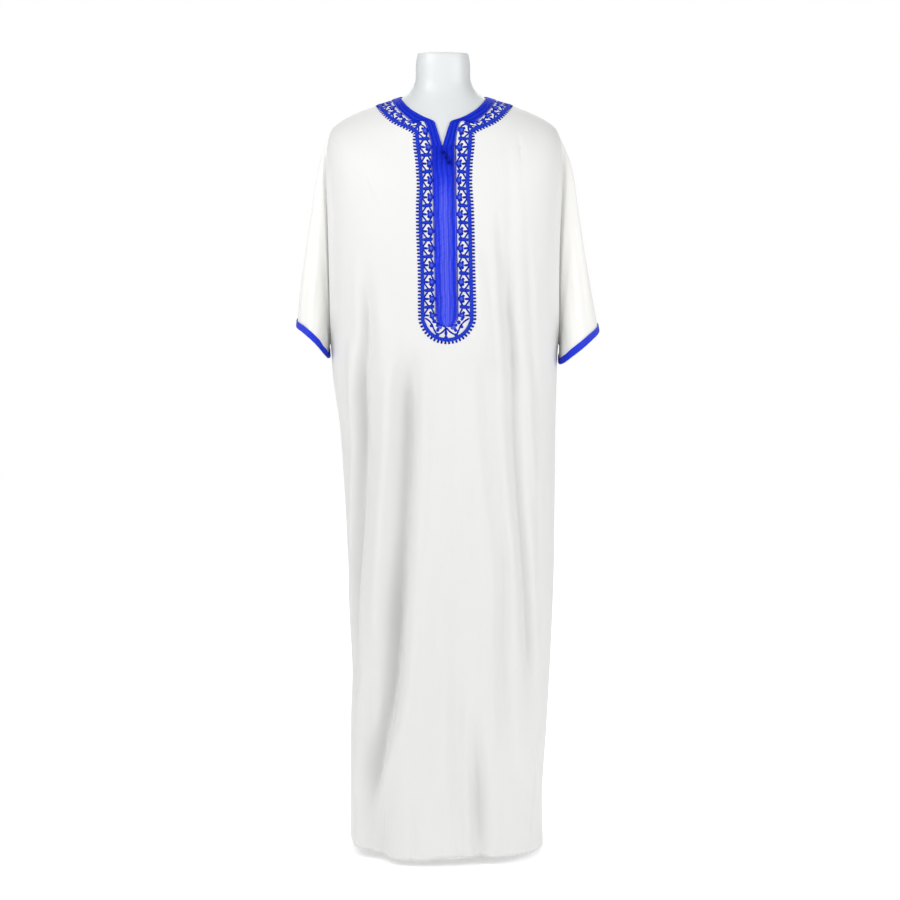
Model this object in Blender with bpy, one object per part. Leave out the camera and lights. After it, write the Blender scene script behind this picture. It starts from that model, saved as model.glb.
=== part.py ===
"""A white gandoura robe with blue braid, worn by a limbless dress form. Metres, +Z up.

The robe's front faces -Y and the floor is z = 0. Every point of the cloth has two coordinates:
its angle round the body (degrees: 0 front centre, 90 the +X side, 180 back centre) and its drop
(metres down the cloth from the neckline). The rings below give the cloth's own shape, the folds
are pushed in or out of it, and each trim lies on the same points, moved out.
"""

import math
from collections import namedtuple

import bmesh
import bpy
import numpy as np

# ---- cloth, seams and trims ----
WALL = 0.0012
SEAM_GAP = 0.0004
SLEEVE_SEAM_GAP = 0.0009
TRIM_GAP = 0.0006
TRIM_THICKNESS = 0.0014
HEM_HEIGHT = 0.016
SIDE_ANGLE = 90.0

# ---- the cloth's rings, from the neckline to the hem ----
# left, right: half widths. front, back: half depths. The heights are those of the ring's sides,
# front centre and back centre. squareness bows the ring out at its corners.
Ring = namedtuple(
    "Ring",
    "name drop left right front back side_height front_height back_height squareness",
)
RINGS = (
    Ring("neckline", 0.000, 0.080, 0.077, 0.088, 0.062, 1.441, 1.403, 1.437, 0.040),
    Ring("collar_edge", 0.050, 0.127, 0.127, 0.104, 0.098, 1.426, 1.355, 1.405, 0.040),
    Ring("yoke", 0.085, 0.162, 0.160, 0.113, 0.107, 1.413, 1.323, 1.376, 0.042),
    Ring("shoulder", 0.115, 0.189, 0.188, 0.120, 0.112, 1.399, 1.295, 1.350, 0.045),
    Ring("shoulder_tip", 0.138, 0.207, 0.206, 0.124, 0.115, 1.385, 1.272, 1.325, 0.048),
    Ring("upper_arm", 0.165, 0.216, 0.216, 0.127, 0.117, 1.362, 1.245, 1.298, 0.050),
    Ring("chest", 0.200, 0.218, 0.218, 0.129, 0.118, 1.330, 1.215, 1.262, 0.050),
    Ring("bust", 0.270, 0.217, 0.217, 0.131, 0.119, 1.262, 1.150, 1.190, 0.050),
    Ring("ribs", 0.360, 0.216, 0.215, 0.132, 0.119, 1.172, 1.085, 1.105, 0.050),
    Ring("waist", 0.500, 0.212, 0.213, 0.133, 0.119, 1.032, 0.992, 0.996, 0.050),
    Ring("underarm", 0.600, 0.211, 0.212, 0.134, 0.119, 0.932, 0.923, 0.923, 0.050),
    Ring("hip", 0.700, 0.198, 0.210, 0.135, 0.120, 0.830, 0.830, 0.830, 0.050),
    Ring("thigh", 0.830, 0.190, 0.210, 0.136, 0.121, 0.700, 0.700, 0.700, 0.048),
    Ring("knee", 1.000, 0.183, 0.209, 0.138, 0.123, 0.530, 0.530, 0.530, 0.048),
    Ring("calf", 1.150, 0.177, 0.204, 0.139, 0.126, 0.380, 0.380, 0.380, 0.048),
    Ring("shin", 1.300, 0.182, 0.197, 0.140, 0.130, 0.230, 0.230, 0.230, 0.046),
    Ring("ankle", 1.430, 0.183, 0.190, 0.141, 0.133, 0.100, 0.100, 0.100, 0.044),
    Ring("hem", 1.514, 0.184, 0.192, 0.142, 0.135, HEM_HEIGHT, HEM_HEIGHT, HEM_HEIGHT, 0.042),
)
HEM_DROP = RINGS[-1].drop
# The hem hangs unevenly: how much lower it is than its ring, at angles round the body.
HemStop = namedtuple("HemStop", "angle fall")
HEM_STOPS = (
    HemStop(-180.0, 0.000),
    HemStop(-110.0, 0.000),
    HemStop(-75.0, -0.008),
    HemStop(-55.0, -0.003),
    HemStop(-38.0, 0.001),
    HemStop(-16.0, 0.003),
    HemStop(6.0, -0.004),
    HemStop(28.0, -0.001),
    HemStop(50.0, 0.001),
    HemStop(75.0, 0.007),
    HemStop(110.0, 0.002),
    HemStop(180.0, 0.000),
)
HEM_FALL_DROP = 1.34

# ---- the V slit in the front of the neckline ----
SLIT_ANGLE = -2.0
SLIT_HALF_ANGLE = 12.3
SLIT_DEPTH = 0.046
SLIT_SHARPNESS = 1.6
SLIT_BLEND_DROP = 0.115

# ---- the armholes: ovals cut in the two sides ----
ARMHOLE_TOP = 0.138
ARMHOLE_FOOT = 0.548
ARMHOLE_HALF_ANGLE = 15.0
ROLL_HEIGHT = 0.006
ROLL_FROM_EDGE = 0.013
ROLL_WIDTH = 0.011
ROLL_TOP = 0.155
ROLL_FOOT = 0.585
ROLL_FADE = 0.110

# ---- the folds that hang from the shoulders ----
# x at five even heights from top to foot. depth goes into the cloth (a ridge has a negative
# depth), left and right are the widths of its two flanks, fade the length of each soft end.
Fold = namedtuple("Fold", "name face top foot x1 x2 x3 x4 x5 depth left right fade")
FOLDS = (
    Fold("left_edge", "front", 1.17, 0.28, -0.143, -0.146, -0.154, -0.167, -0.170, 0.014, 0.012, 0.013, 0.18),
    Fold("left_main", "front", 1.01, 0.05, -0.056, -0.068, -0.085, -0.109, -0.168, 0.026, 0.021, 0.014, 0.20),
    Fold("left_crest", "front", 1.08, 0.30, -0.100, -0.106, -0.118, -0.130, -0.138, -0.006, 0.018, 0.018, 0.20),
    Fold("right_main", "front", 1.31, 0.28, 0.101, 0.122, 0.131, 0.151, 0.163, 0.013, 0.011, 0.011, 0.16),
    Fold("right_crest", "front", 1.25, 0.90, 0.080, 0.089, 0.096, 0.103, 0.108, -0.005, 0.013, 0.013, 0.12),
    Fold("right_soft", "front", 1.03, 0.14, 0.073, 0.082, 0.108, 0.110, 0.132, 0.008, 0.012, 0.012, 0.16),
    Fold("crest", "front", 0.62, 0.00, -0.006, -0.008, -0.008, -0.010, -0.012, -0.005, 0.022, 0.022, 0.20),
    Fold("hem_cone", "front", 0.32, -0.10, 0.058, 0.061, 0.066, 0.069, 0.072, 0.013, 0.017, 0.017, 0.20),
    Fold("hem_left", "front", 0.45, -0.08, 0.024, 0.026, 0.027, 0.028, 0.028, 0.006, 0.012, 0.012, 0.16),
    Fold("hem_corner", "front", 0.17, -0.10, -0.118, -0.122, -0.124, -0.124, -0.124, 0.006, 0.012, 0.012, 0.10),
    Fold("middle", "back", 1.30, -0.10, 0.004, -0.002, -0.006, 0.002, 0.010, -0.009, 0.026, 0.026, 0.30),
    Fold("back_left", "back", 1.18, -0.10, -0.052, -0.066, -0.074, -0.092, -0.100, 0.019, 0.017, 0.020, 0.25),
    Fold("back_right", "back", 1.12, 0.06, 0.062, 0.070, 0.086, 0.082, 0.070, 0.018, 0.019, 0.015, 0.22),
    Fold("far_left", "back", 1.26, 0.12, -0.128, -0.138, -0.142, -0.146, -0.150, 0.012, 0.013, 0.013, 0.20),
    Fold("far_right", "back", 1.22, -0.08, 0.120, 0.132, 0.144, 0.146, 0.138, 0.014, 0.014, 0.014, 0.20),
    Fold("back_hem", "back", 0.52, -0.10, 0.030, 0.028, 0.024, 0.020, 0.018, 0.008, 0.013, 0.013, 0.18),
)
LIP_SHARE = 0.22
LIP_DISTANCE = 1.9

# ---- the sleeves: tubes from the armhole to a slanted oval cuff ----
# outer and inner are the cuff's two ends, swell is how far the cloth stands out on the way down.
Sleeve = namedtuple(
    "Sleeve",
    "name side outer_x outer_z inner_x inner_z front_rise swell_top swell_upper swell_lower swell_foot",
)
SLEEVES = (
    Sleeve("left", -1, 0.2760, 1.019, 0.2165, 0.958, 0.011, 0.0090, 0.0095, 0.0090, 0.0050),
    Sleeve("right", 1, 0.2890, 1.010, 0.2165, 0.947, 0.002, 0.0105, 0.0085, 0.0050, 0.0015),
)
SWELL_REACHES = (0.0, 0.12, 0.35, 0.60, 0.85, 1.0)
SLEEVE_REACHES = (0.0, 0.03, 0.08, 0.16, 0.28, 0.42, 0.57, 0.72, 0.87, 1.0)
CUFF_FRONT_DEPTH = 0.075
CUFF_BACK_DEPTH = 0.070
UNDERARM_SWELL = 0.25
SLEEVE_PLEATS = 5
SLEEVE_PLEAT_HEIGHT = 0.0022

# ---- the cells that each panel is built in ----
# Columns nearer the centre line than STRAIGHT_ANGLE hang straight past the armhole.
STRAIGHT_ANGLE = 48.0
YOKE_ROWS = (0.0, 0.018, 0.034, 0.050, 0.078, 0.108)
ARMHOLE_STEPS = 12
SKIRT_ROWS = 13
FRONT_LEFT_CELLS = 23
FRONT_SLIT_CELLS = 6
FRONT_RIGHT_CELLS = 18
BACK_CELLS = 32

# ---- trims ----
NECK_BRAID_WIDTH = 0.018
NECK_BRAID_INSET = 0.0003
NECK_BRAID_ROWS = np.linspace(0.0, 1.0, 53)
NECK_BRAID_ANGLES = (180.0, 150.0, 120.0, 90.0, 65.0, 45.0, 30.0)
# x of the slit's two edges and of the braid's outer edges beside them, going down the slit.
SlitStop = namedtuple("SlitStop", "height left_edge left_braid right_edge right_braid")
SLIT_STOPS = (
    SlitStop(1.4015, -0.0205, -0.0400, 0.0150, 0.0330),
    SlitStop(1.3920, -0.0150, -0.0330, 0.0085, 0.0262),
    SlitStop(1.3780, -0.0105, -0.0285, 0.0036, 0.0228),
    SlitStop(1.3660, -0.0067, -0.0255, -0.0003, 0.0215),
    SlitStop(1.3560, -0.0040, -0.0232, -0.0030, 0.0208),
)
BibRow = namedtuple("BibRow", "height centre half_width")
BIB_ROWS = (
    BibRow(1.3720, -0.0008, 0.0531),
    BibRow(1.3350, -0.0003, 0.0496),
    BibRow(1.3050, 0.0001, 0.0475),
    BibRow(1.2800, 0.0007, 0.0472),
    BibRow(1.2500, 0.0012, 0.0490),
    BibRow(1.2000, 0.0022, 0.0497),
    BibRow(1.1300, 0.0043, 0.0491),
    BibRow(1.0515, 0.0054, 0.0498),
)
BIB_TOP, BIB_FOOT = BIB_ROWS[0], BIB_ROWS[-1]
BIB_BAND_WIDTH = 0.007
BIB_BAND_ROWS = np.linspace(0.0, 1.0, 85)
BIB_FOOT_TURNS = (18.0, 36.0, 54.0, 72.0, 90.0)
# The corner where the bib's side turns into the collar: how far out and up from the bib's top.
BIB_CORNER_OUT = 0.0035
BIB_CORNER_RISE = 0.0080
BIB_CORNER_INNER_IN = 0.0056
BIB_CORNER_INNER_RISE = 0.0056
PLACKET_TOP = BibRow(1.3540, -0.0008, 0.0208)
PLACKET_FOOT = BibRow(1.0520, 0.0052, 0.0200)
PLACKET_ROWS = np.array((0.0, 0.1, 0.2, 0.3, 0.4, 0.5, 0.6, 0.7, 0.8, 0.9, 0.95, 0.968, 0.982, 0.993, 1.0))
PLACKET_SHARES = (0.0, 0.25, 0.50, 0.75, 0.92, 0.97, 1.0)
PLACKET_FOOT_TURNS = (25.0, 50.0, 68.0, 82.0)
# How far down from the neckline the collar's outer edge runs, at angles from the back to the bib.
CollarStop = namedtuple("CollarStop", "angle drop")
COLLAR_STOPS = (
    CollarStop(180.0, 0.0490),
    CollarStop(150.0, 0.0490),
    CollarStop(120.0, 0.0490),
    CollarStop(90.0, 0.0485),
    CollarStop(67.0, 0.0465),
    CollarStop(49.0, 0.0430),
    CollarStop(36.0, 0.0375),
)
CUFF_BRAID_WIDTH = 0.012
CUFF_BRAID_EXTRA = 0.003
CUFF_BRAID_ROWS = (1.0, 0.5, 0.02)
PLACKET_RIBS = 6
PLACKET_FOOT_NARROWING = 0.0190
PLACKET_FOOT_FALL = 0.0212
PLACKET_RIB_HEIGHT = 0.0004
KNOT_RADIUS = 0.004
KNOTS = ((-0.0015, 1.3435), (0.0042, 1.3345), (0.0098, 1.3255))

# ---- dress form ----
NECK_LEAN = -0.0025
FORM_GAP = 0.0005
FORM_COLUMNS = 32
FORM_SQUARENESS = 0.03
FormRing = namedtuple(
    "FormRing", "name half_width front back side_height front_height back_height"
)
NECK_RINGS = (
    FormRing("cap", 0.0400, 0.0400, 0.0440, 1.5246, 1.5246, 1.5246),
    FormRing("cap_edge", 0.0462, 0.0455, 0.0505, 1.5225, 1.5225, 1.5225),
    FormRing("rim", 0.0475, 0.0470, 0.0520, 1.5170, 1.5170, 1.5170),
    FormRing("neck_top", 0.0500, 0.0490, 0.0545, 1.5050, 1.5050, 1.5050),
    FormRing("neck_foot", 0.0502, 0.0510, 0.0555, 1.4740, 1.4700, 1.4760),
    FormRing("neck_flare", 0.0545, 0.0570, 0.0570, 1.4620, 1.4520, 1.4640),
    FormRing("neck_root", 0.0620, 0.0660, 0.0575, 1.4515, 1.4350, 1.4530),
    FormRing("throat", 0.0705, 0.0765, 0.0590, 1.4455, 1.4180, 1.4440),
)
TORSO_RINGS = (
    FormRing("shoulder_cap", 0.1950, 0.1150, 0.1080, 1.3800, 1.2720, 1.3250),
    FormRing("shoulder_end", 0.1970, 0.1130, 0.1060, 1.3580, 1.2500, 1.3000),
    FormRing("arm_plate", 0.1880, 0.1080, 0.1000, 1.3000, 1.2100, 1.2400),
    FormRing("chest", 0.1720, 0.1010, 0.0930, 1.2200, 1.1600, 1.1700),
    FormRing("ribs", 0.1600, 0.0920, 0.0840, 1.1300, 1.1000, 1.1000),
    FormRing("waist", 0.1500, 0.0850, 0.0780, 1.0100, 1.0100, 1.0100),
    FormRing("hips", 0.1580, 0.0880, 0.0860, 0.9000, 0.9000, 0.9000),
    FormRing("seat", 0.1560, 0.0860, 0.0840, 0.8000, 0.8000, 0.8000),
    FormRing("foot_edge", 0.1500, 0.0810, 0.0790, 0.7820, 0.7820, 0.7820),
)
POLE_RADIUS = 0.0125
SOCKET_RADIUS = 0.022
SOCKET_HEIGHT = 0.035
BASE_RADIUS = 0.092
BASE_THICKNESS = 0.006
SEAT_GAP = 0.0003

# ---- the search for the point of the cloth that is seen at an x and a height ----
LOCATE_ROUNDS = 40
LOCATE_DAMPING = 0.7
LEAST_X_SLOPE = 0.0002
LEAST_Z_SLOPE = 0.3
MOST_LEAN = 88.0

# ---- colours: red, green, blue, roughness ----
WHITE_CLOTH = (0.86, 0.87, 0.87, 0.62)
WHITE_GLOSS = (0.88, 0.90, 0.91, 0.25)
BLUE_SATIN = (0.015, 0.035, 0.62, 0.38)
DARK_BLUE_CORD = (0.008, 0.015, 0.38, 0.45)
WHITE_STEEL = (0.80, 0.81, 0.82, 0.35)


# ---------------------------------------------------------------- the cloth's surface


def smooth(at, knots, values):
    """A smooth curve through (knots, values), read at `at` and held level past its ends."""
    knots = np.asarray(knots, float)
    values = np.asarray(values, float)
    slopes = np.gradient(values, knots)
    span = np.clip(np.searchsorted(knots, at) - 1, 0, len(knots) - 2)
    width = knots[span + 1] - knots[span]
    t = np.clip((at - knots[span]) / width, 0.0, 1.0)
    rise = t * t * (3.0 - 2.0 * t)
    start_pull = t * (1.0 - t) ** 2
    end_pull = t * t * (t - 1.0)
    level = values[span] + rise * (values[span + 1] - values[span])
    return level + width * (start_pull * slopes[span] + end_pull * slopes[span + 1])


def along_rings(field, drop):
    return smooth(drop, [ring.drop for ring in RINGS], [getattr(ring, field) for ring in RINGS])


def ring_point(angle, left, right, front, back, heights, squareness):
    """The point at an angle of one ring. heights are those of its side, front and back."""
    turn = np.radians(angle)
    sine, cosine = np.sin(turn), np.cos(turn)
    half = np.where(sine >= 0.0, right, left)
    depth = np.where(cosine >= 0.0, -np.asarray(front), back)
    side_height, front_height, back_height = heights
    centre_height = np.where(cosine >= 0.0, front_height, back_height)
    x = half * (sine + squareness * np.sin(3.0 * turn)) / (1.0 - squareness)
    y = depth * np.abs(cosine - squareness * np.cos(3.0 * turn)) / (1.0 - squareness)
    z = side_height + (centre_height - side_height) * cosine**2
    return np.stack([x, y, z], axis=-1)


def soft_step(value):
    value = np.clip(value, 0.0, 1.0)
    return value * value * (3.0 - 2.0 * value)


def hem_fall(angle):
    turn = (np.asarray(angle, float) + 180.0) % 360.0 - 180.0
    return smooth(turn, [stop.angle for stop in HEM_STOPS], [stop.fall for stop in HEM_STOPS])


def plain_cloth(angle, drop):
    """The cloth's outer face before any fold."""
    angle, drop = np.broadcast_arrays(np.asarray(angle, float), np.asarray(drop, float))
    sizes = [along_rings(field, drop) for field in ("left", "right", "front", "back")]
    heights = [along_rings(f"{part}_height", drop) for part in ("side", "front", "back")]
    place = ring_point(angle, *sizes, heights, along_rings("squareness", drop))
    place[..., 2] -= hem_fall(angle) * soft_step((drop - HEM_FALL_DROP) / (HEM_DROP - HEM_FALL_DROP))
    return place


def outward(surface, angle, drop):
    """The unit normal of a surface(angle, drop), pointing away from the body."""
    angle_step, drop_step = 0.25, 0.0008
    across = surface(angle + angle_step, drop) - surface(angle - angle_step, drop)
    down = surface(angle, drop + drop_step) - surface(angle, drop - drop_step)
    normal = np.cross(down, across)
    return normal / np.linalg.norm(normal, axis=-1, keepdims=True)


def locate(x, z, face):
    """The (angle, drop) of the plain cloth that is seen at x, z from the front or the back."""
    x, z = np.broadcast_arrays(np.asarray(x, float), np.asarray(z, float))
    centre = 0.0 if face == "front" else 180.0
    way = 1.0 if face == "front" else -1.0
    widest = max(ring.right for ring in RINGS)
    lean = np.degrees(np.arcsin(np.clip(x / widest, -0.9, 0.9)))
    drop = np.clip(RINGS[0].side_height - z, 0.0, HEM_DROP)
    angle_step, drop_step = 0.01, 0.0001
    for _ in range(LOCATE_ROUNDS):
        at = plain_cloth(centre + way * lean, drop)
        side = plain_cloth(centre + way * (lean + angle_step), drop)
        below = plain_cloth(centre + way * lean, drop + drop_step)
        x_by_lean = np.maximum((side - at)[..., 0] / angle_step, LEAST_X_SLOPE)
        z_by_drop = np.minimum((below - at)[..., 2] / drop_step, -LEAST_Z_SLOPE)
        lean += LOCATE_DAMPING * (x - at[..., 0]) / x_by_lean
        lean = np.clip(lean, -MOST_LEAN, MOST_LEAN)
        drop = np.clip(drop + LOCATE_DAMPING * (z - at[..., 2]) / z_by_drop, 0.0, HEM_DROP)
    return centre + way * lean, drop


def per_degree(angle, drop):
    """Metres of cloth for each degree round the ring."""
    return np.linalg.norm(plain_cloth(angle + 0.5, drop) - plain_cloth(angle - 0.5, drop), axis=-1)


def fold_route(fold):
    """The (drops, angles) that a fold runs through, from its top to its foot."""
    xs = np.array([fold.x1, fold.x2, fold.x3, fold.x4, fold.x5])
    heights = np.linspace(fold.top, fold.foot, len(xs))
    angles, drops = locate(xs, np.maximum(heights, HEM_HEIGHT), fold.face)
    drops = drops + np.maximum(HEM_HEIGHT - heights, 0.0)
    return drops, angles


FOLD_ROUTES = [fold_route(fold) for fold in FOLDS]


def fold_push(angle, drop):
    """How far the folds move the cloth outwards."""
    push = np.zeros(np.broadcast(angle, drop).shape)
    for fold, (drops, angles) in zip(FOLDS, FOLD_ROUTES):
        centre = smooth(drop, drops, angles)
        turn = (angle - centre + 180.0) % 360.0 - 180.0
        across = turn * per_degree(centre, drop)
        if fold.face == "back":
            across = -across
        width = np.where(across < 0.0, fold.left, fold.right)
        ends = soft_step((drop - drops[0]) / fold.fade) * soft_step((drops[-1] - drop) / fold.fade)
        trough = np.exp(-((across / width) ** 2))
        lips = np.exp(-((np.abs(across) / width - LIP_DISTANCE) ** 2))
        push -= fold.depth * ends * (trough - LIP_SHARE * lips)
    return push


def armhole_angle(drop, half_angle=ARMHOLE_HALF_ANGLE):
    """How far the armhole reaches from the side, in degrees, at a drop."""
    middle = (ARMHOLE_TOP + ARMHOLE_FOOT) / 2.0
    share = (np.asarray(drop, float) - middle) / (ARMHOLE_FOOT - middle)
    return half_angle * np.sqrt(np.maximum(1.0 - share**2, 0.0))


def roll_push(angle, drop):
    """The soft roll of cloth that stands beside each armhole and dies out at its ends."""
    from_centre = np.abs((angle + 180.0) % 360.0 - 180.0)
    from_centre = np.minimum(from_centre, 180.0 - from_centre)
    edge = SIDE_ANGLE - armhole_angle(drop)
    from_edge = (edge - from_centre) * per_degree(np.full_like(from_centre, SIDE_ANGLE), drop)
    length = soft_step((drop - ROLL_TOP) / ROLL_FADE) * soft_step((ROLL_FOOT - drop) / ROLL_FADE)
    return ROLL_HEIGHT * length * np.exp(-(((from_edge - ROLL_FROM_EDGE) / ROLL_WIDTH) ** 2))


def robe(angle, drop):
    """The cloth's outer face, folds and all."""
    angle, drop = np.broadcast_arrays(np.asarray(angle, float), np.asarray(drop, float))
    push = fold_push(angle, drop) + roll_push(angle, drop)
    return plain_cloth(angle, drop) + outward(plain_cloth, angle, drop) * push[..., None]


def slit_drop(angle):
    """How far down the V slit has cut the cloth at an angle."""
    reach = np.abs(np.asarray(angle, float) - SLIT_ANGLE) / SLIT_HALF_ANGLE
    return SLIT_DEPTH * np.maximum(1.0 - reach, 0.0) ** SLIT_SHARPNESS


def below_slit(angle, drop):
    """Presses a drop down past the slit, and leaves it alone further below."""
    cut = slit_drop(angle)
    return drop + cut * np.maximum(1.0 - drop / SLIT_BLEND_DROP, 0.0)


# ---------------------------------------------------------------- making meshes

def material(name, colour, metallic=0.0):
    made = bpy.data.materials.new(name)
    made.use_nodes = True
    shader = made.node_tree.nodes["Principled BSDF"]
    red, green, blue, roughness = colour
    shader.inputs["Base Color"].default_value = (red, green, blue, 1.0)
    shader.inputs["Roughness"].default_value = roughness
    shader.inputs["Metallic"].default_value = metallic
    return made


def new_object(name, bm, colour, metallic=0.0):
    mesh = bpy.data.meshes.new(name)
    bm.to_mesh(mesh)
    bm.free()
    mesh.shade_smooth()
    mesh.materials.append(material(f"{name}_finish", colour, metallic))
    made = bpy.data.objects.new(name, mesh)
    bpy.context.scene.collection.objects.link(made)
    return made


def sheet_mesh(points, closed=False):
    """A sheet of faces through points[row, column], row 0 at its top, that may close on itself."""
    rows, columns = points.shape[:2]
    bm = bmesh.new()
    bmesh.ops.create_grid(bm, x_segments=columns - 1, y_segments=rows - 1, size=1.0)
    for vert in bm.verts:
        column = round((vert.co.x + 1.0) / 2.0 * (columns - 1))
        row = round((1.0 - vert.co.y) / 2.0 * (rows - 1))
        vert.co = points[row, column]
    if closed:
        bmesh.ops.remove_doubles(bm, verts=bm.verts, dist=1e-6)
    return bm


def capped_tube(points):
    """A closed solid through rings of points[row, column], each ring's last point its first."""
    bm = sheet_mesh(points, closed=True)
    bmesh.ops.holes_fill(bm, edges=[edge for edge in bm.edges if edge.is_boundary], sides=0)
    bmesh.ops.recalc_face_normals(bm, faces=bm.faces)
    return bm


def add_wall(made, thickness, outwards=False):
    wall = made.modifiers.new("wall", "SOLIDIFY")
    wall.thickness = thickness
    wall.offset = 1.0 if outwards else -1.0
    wall.use_even_offset = False


# ---------------------------------------------------------------- front and back


def panel_drops():
    """The rows of a panel: the yoke, the armhole's own turns, and the skirt."""
    turns = np.linspace(math.pi, 0.0, ARMHOLE_STEPS + 1)
    middle = (ARMHOLE_TOP + ARMHOLE_FOOT) / 2.0
    armhole = middle + (ARMHOLE_FOOT - middle) * np.cos(turns)
    skirt = np.linspace(ARMHOLE_FOOT, HEM_DROP, SKIRT_ROWS + 1)[1:]
    return np.concatenate([YOKE_ROWS, armhole, skirt])


def make_panel(name, lean, centre):
    """One panel. lean holds its columns, in degrees from the centre line at the neckline."""
    drop = panel_drops()[:, None]
    seam = SIDE_ANGLE - SEAM_GAP / 2.0 / per_degree(SIDE_ANGLE, drop)
    edge = np.minimum(seam, SIDE_ANGLE - armhole_angle(drop))
    outer_share = np.maximum(np.abs(lean) - STRAIGHT_ANGLE, 0.0) / (SIDE_ANGLE - STRAIGHT_ANGLE)
    angle = centre + lean - np.sign(lean) * (SIDE_ANGLE - edge) * outer_share
    drop = np.broadcast_to(drop, angle.shape)
    if centre == 0.0:
        drop = below_slit(angle, drop)
    made = new_object(name, sheet_mesh(robe(angle, drop)), WHITE_CLOTH)
    add_wall(made, WALL)


def make_front():
    slit_left = SLIT_ANGLE - SLIT_HALF_ANGLE
    slit_right = SLIT_ANGLE + SLIT_HALF_ANGLE
    left = np.linspace(-SIDE_ANGLE, slit_left, FRONT_LEFT_CELLS + 1)
    slit = np.linspace(slit_left, slit_right, FRONT_SLIT_CELLS + 1)[1:]
    right = np.linspace(slit_right, SIDE_ANGLE, FRONT_RIGHT_CELLS + 1)[1:]
    make_panel("front_panel", np.concatenate([left, slit, right]), 0.0)


def make_back():
    make_panel("back_panel", np.linspace(-SIDE_ANGLE, SIDE_ANGLE, BACK_CELLS + 1), 180.0)


# ---------------------------------------------------------------- sleeves and cuffs


def sleeve_cloth(sleeve, turn, reach):
    """A sleeve's outer face. turn: 0 underarm, 90 front, 180 top, 270 back. reach: 0 to 1."""
    turn, reach = np.broadcast_arrays(np.radians(turn), np.asarray(reach, float))
    sine, cosine = np.sin(turn), np.cos(turn)
    middle = (ARMHOLE_TOP + ARMHOLE_FOOT) / 2.0
    drop = middle + (ARMHOLE_FOOT - middle - SLEEVE_SEAM_GAP) * cosine
    lean = (ARMHOLE_HALF_ANGLE - SLEEVE_SEAM_GAP / per_degree(SIDE_ANGLE, middle)) * sine
    start = robe(sleeve.side * (SIDE_ANGLE - lean), drop)
    inner_share = (1.0 + cosine) / 2.0
    cuff_x = sleeve.outer_x + (sleeve.inner_x - sleeve.outer_x) * inner_share
    cuff_y = -np.where(sine >= 0.0, CUFF_FRONT_DEPTH, CUFF_BACK_DEPTH) * sine
    cuff_z = sleeve.outer_z + (sleeve.inner_z - sleeve.outer_z) * inner_share
    cuff_z = cuff_z + sleeve.front_rise * sine**2
    end = np.stack([sleeve.side * cuff_x, cuff_y, cuff_z], axis=-1)
    swells = (0.0, sleeve.swell_top, sleeve.swell_upper, sleeve.swell_lower, sleeve.swell_foot, 0.0)
    swell = smooth(reach, SWELL_REACHES, swells)
    swell = swell * (1.0 - (1.0 - UNDERARM_SWELL) * inner_share)
    pleat = SLEEVE_PLEAT_HEIGHT * np.sin(SLEEVE_PLEATS * turn) * sine**2 * reach
    place = start + (end - start) * reach[..., None]
    place[..., 0] += sleeve.side * swell
    place[..., 1] -= np.sign(sine) * pleat
    return place


def sleeve_turns(sleeve):
    """Turns round a sleeve, in the order that faces it outwards."""
    return np.linspace(0.0, 360.0, 2 * ARMHOLE_STEPS + 1)[:: sleeve.side]


def make_sleeve(sleeve):
    turns = sleeve_turns(sleeve)[None, :]
    points = sleeve_cloth(sleeve, turns, np.array(SLEEVE_REACHES)[:, None])
    points[:, -1] = points[:, 0]
    made = new_object(f"sleeve_{sleeve.name}", sheet_mesh(points, closed=True), WHITE_CLOTH)
    add_wall(made, WALL)


def make_cuff_braid(sleeve):
    turns = sleeve_turns(sleeve)[None, :]
    step = 0.01
    foot = sleeve_cloth(sleeve, turns, 1.0)
    length = np.linalg.norm(foot - sleeve_cloth(sleeve, turns, 1.0 - step), axis=-1) / step
    width = CUFF_BRAID_WIDTH + CUFF_BRAID_EXTRA * np.sin(np.radians(turns)) ** 2
    reach = 1.0 - np.array(CUFF_BRAID_ROWS)[:, None] * width / length
    points = sleeve_cloth(sleeve, turns, reach)
    down = points - sleeve_cloth(sleeve, turns, reach - step)
    across = sleeve_cloth(sleeve, turns + 1.0, reach) - sleeve_cloth(sleeve, turns - 1.0, reach)
    normal = np.cross(down, across * sleeve.side)
    normal /= np.linalg.norm(normal, axis=-1, keepdims=True)
    points = points + normal * TRIM_GAP
    points[:, -1] = points[:, 0]
    made = new_object(f"cuff_braid_{sleeve.name}", sheet_mesh(points, closed=True), BLUE_SATIN)
    add_wall(made, TRIM_THICKNESS, outwards=True)


# ---------------------------------------------------------------- braid, placket, bib band


def trim_on_robe(name, inner, outer, rows, colour, cells=1, rib_height=0.0):
    """A strip laid on the robe between two routes of (angle, drop) stops. rows: shares of its length."""
    inner, outer = np.array(inner, float), np.array(outer, float)
    even = np.linspace(0.0, 1.0, len(inner))
    fine = np.linspace(0.0, 1.0, 40 * len(inner))
    middle = [smooth(fine, even, (inner + outer)[:, i] / 2.0) for i in (0, 1)]
    steps = np.linalg.norm(np.diff(plain_cloth(*middle), axis=0), axis=1)
    length = np.concatenate([[0.0], np.cumsum(steps)])
    share = np.interp(rows * length[-1], length, fine)[:, None]
    across = np.linspace(0.0, 1.0, cells + 1)[None, :]
    angle, drop = [
        smooth(share, even, inner[:, i]) * (1.0 - across) + smooth(share, even, outer[:, i]) * across
        for i in (0, 1)
    ]
    normal = outward(robe, angle, drop)
    under = robe(angle, drop) + normal * TRIM_GAP
    crown = rib_height * np.abs(np.sin(math.pi * across * cells / 2.0))
    over = under + normal * (TRIM_THICKNESS + crown)[..., None]
    rings = np.concatenate([over, under[:, ::-1], over[:, :1]], axis=1)
    new_object(name, capped_tube(rings), colour)


def on_front(x, height):
    angle, drop = locate(x, height, "front")
    return float(angle), float(drop)


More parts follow.
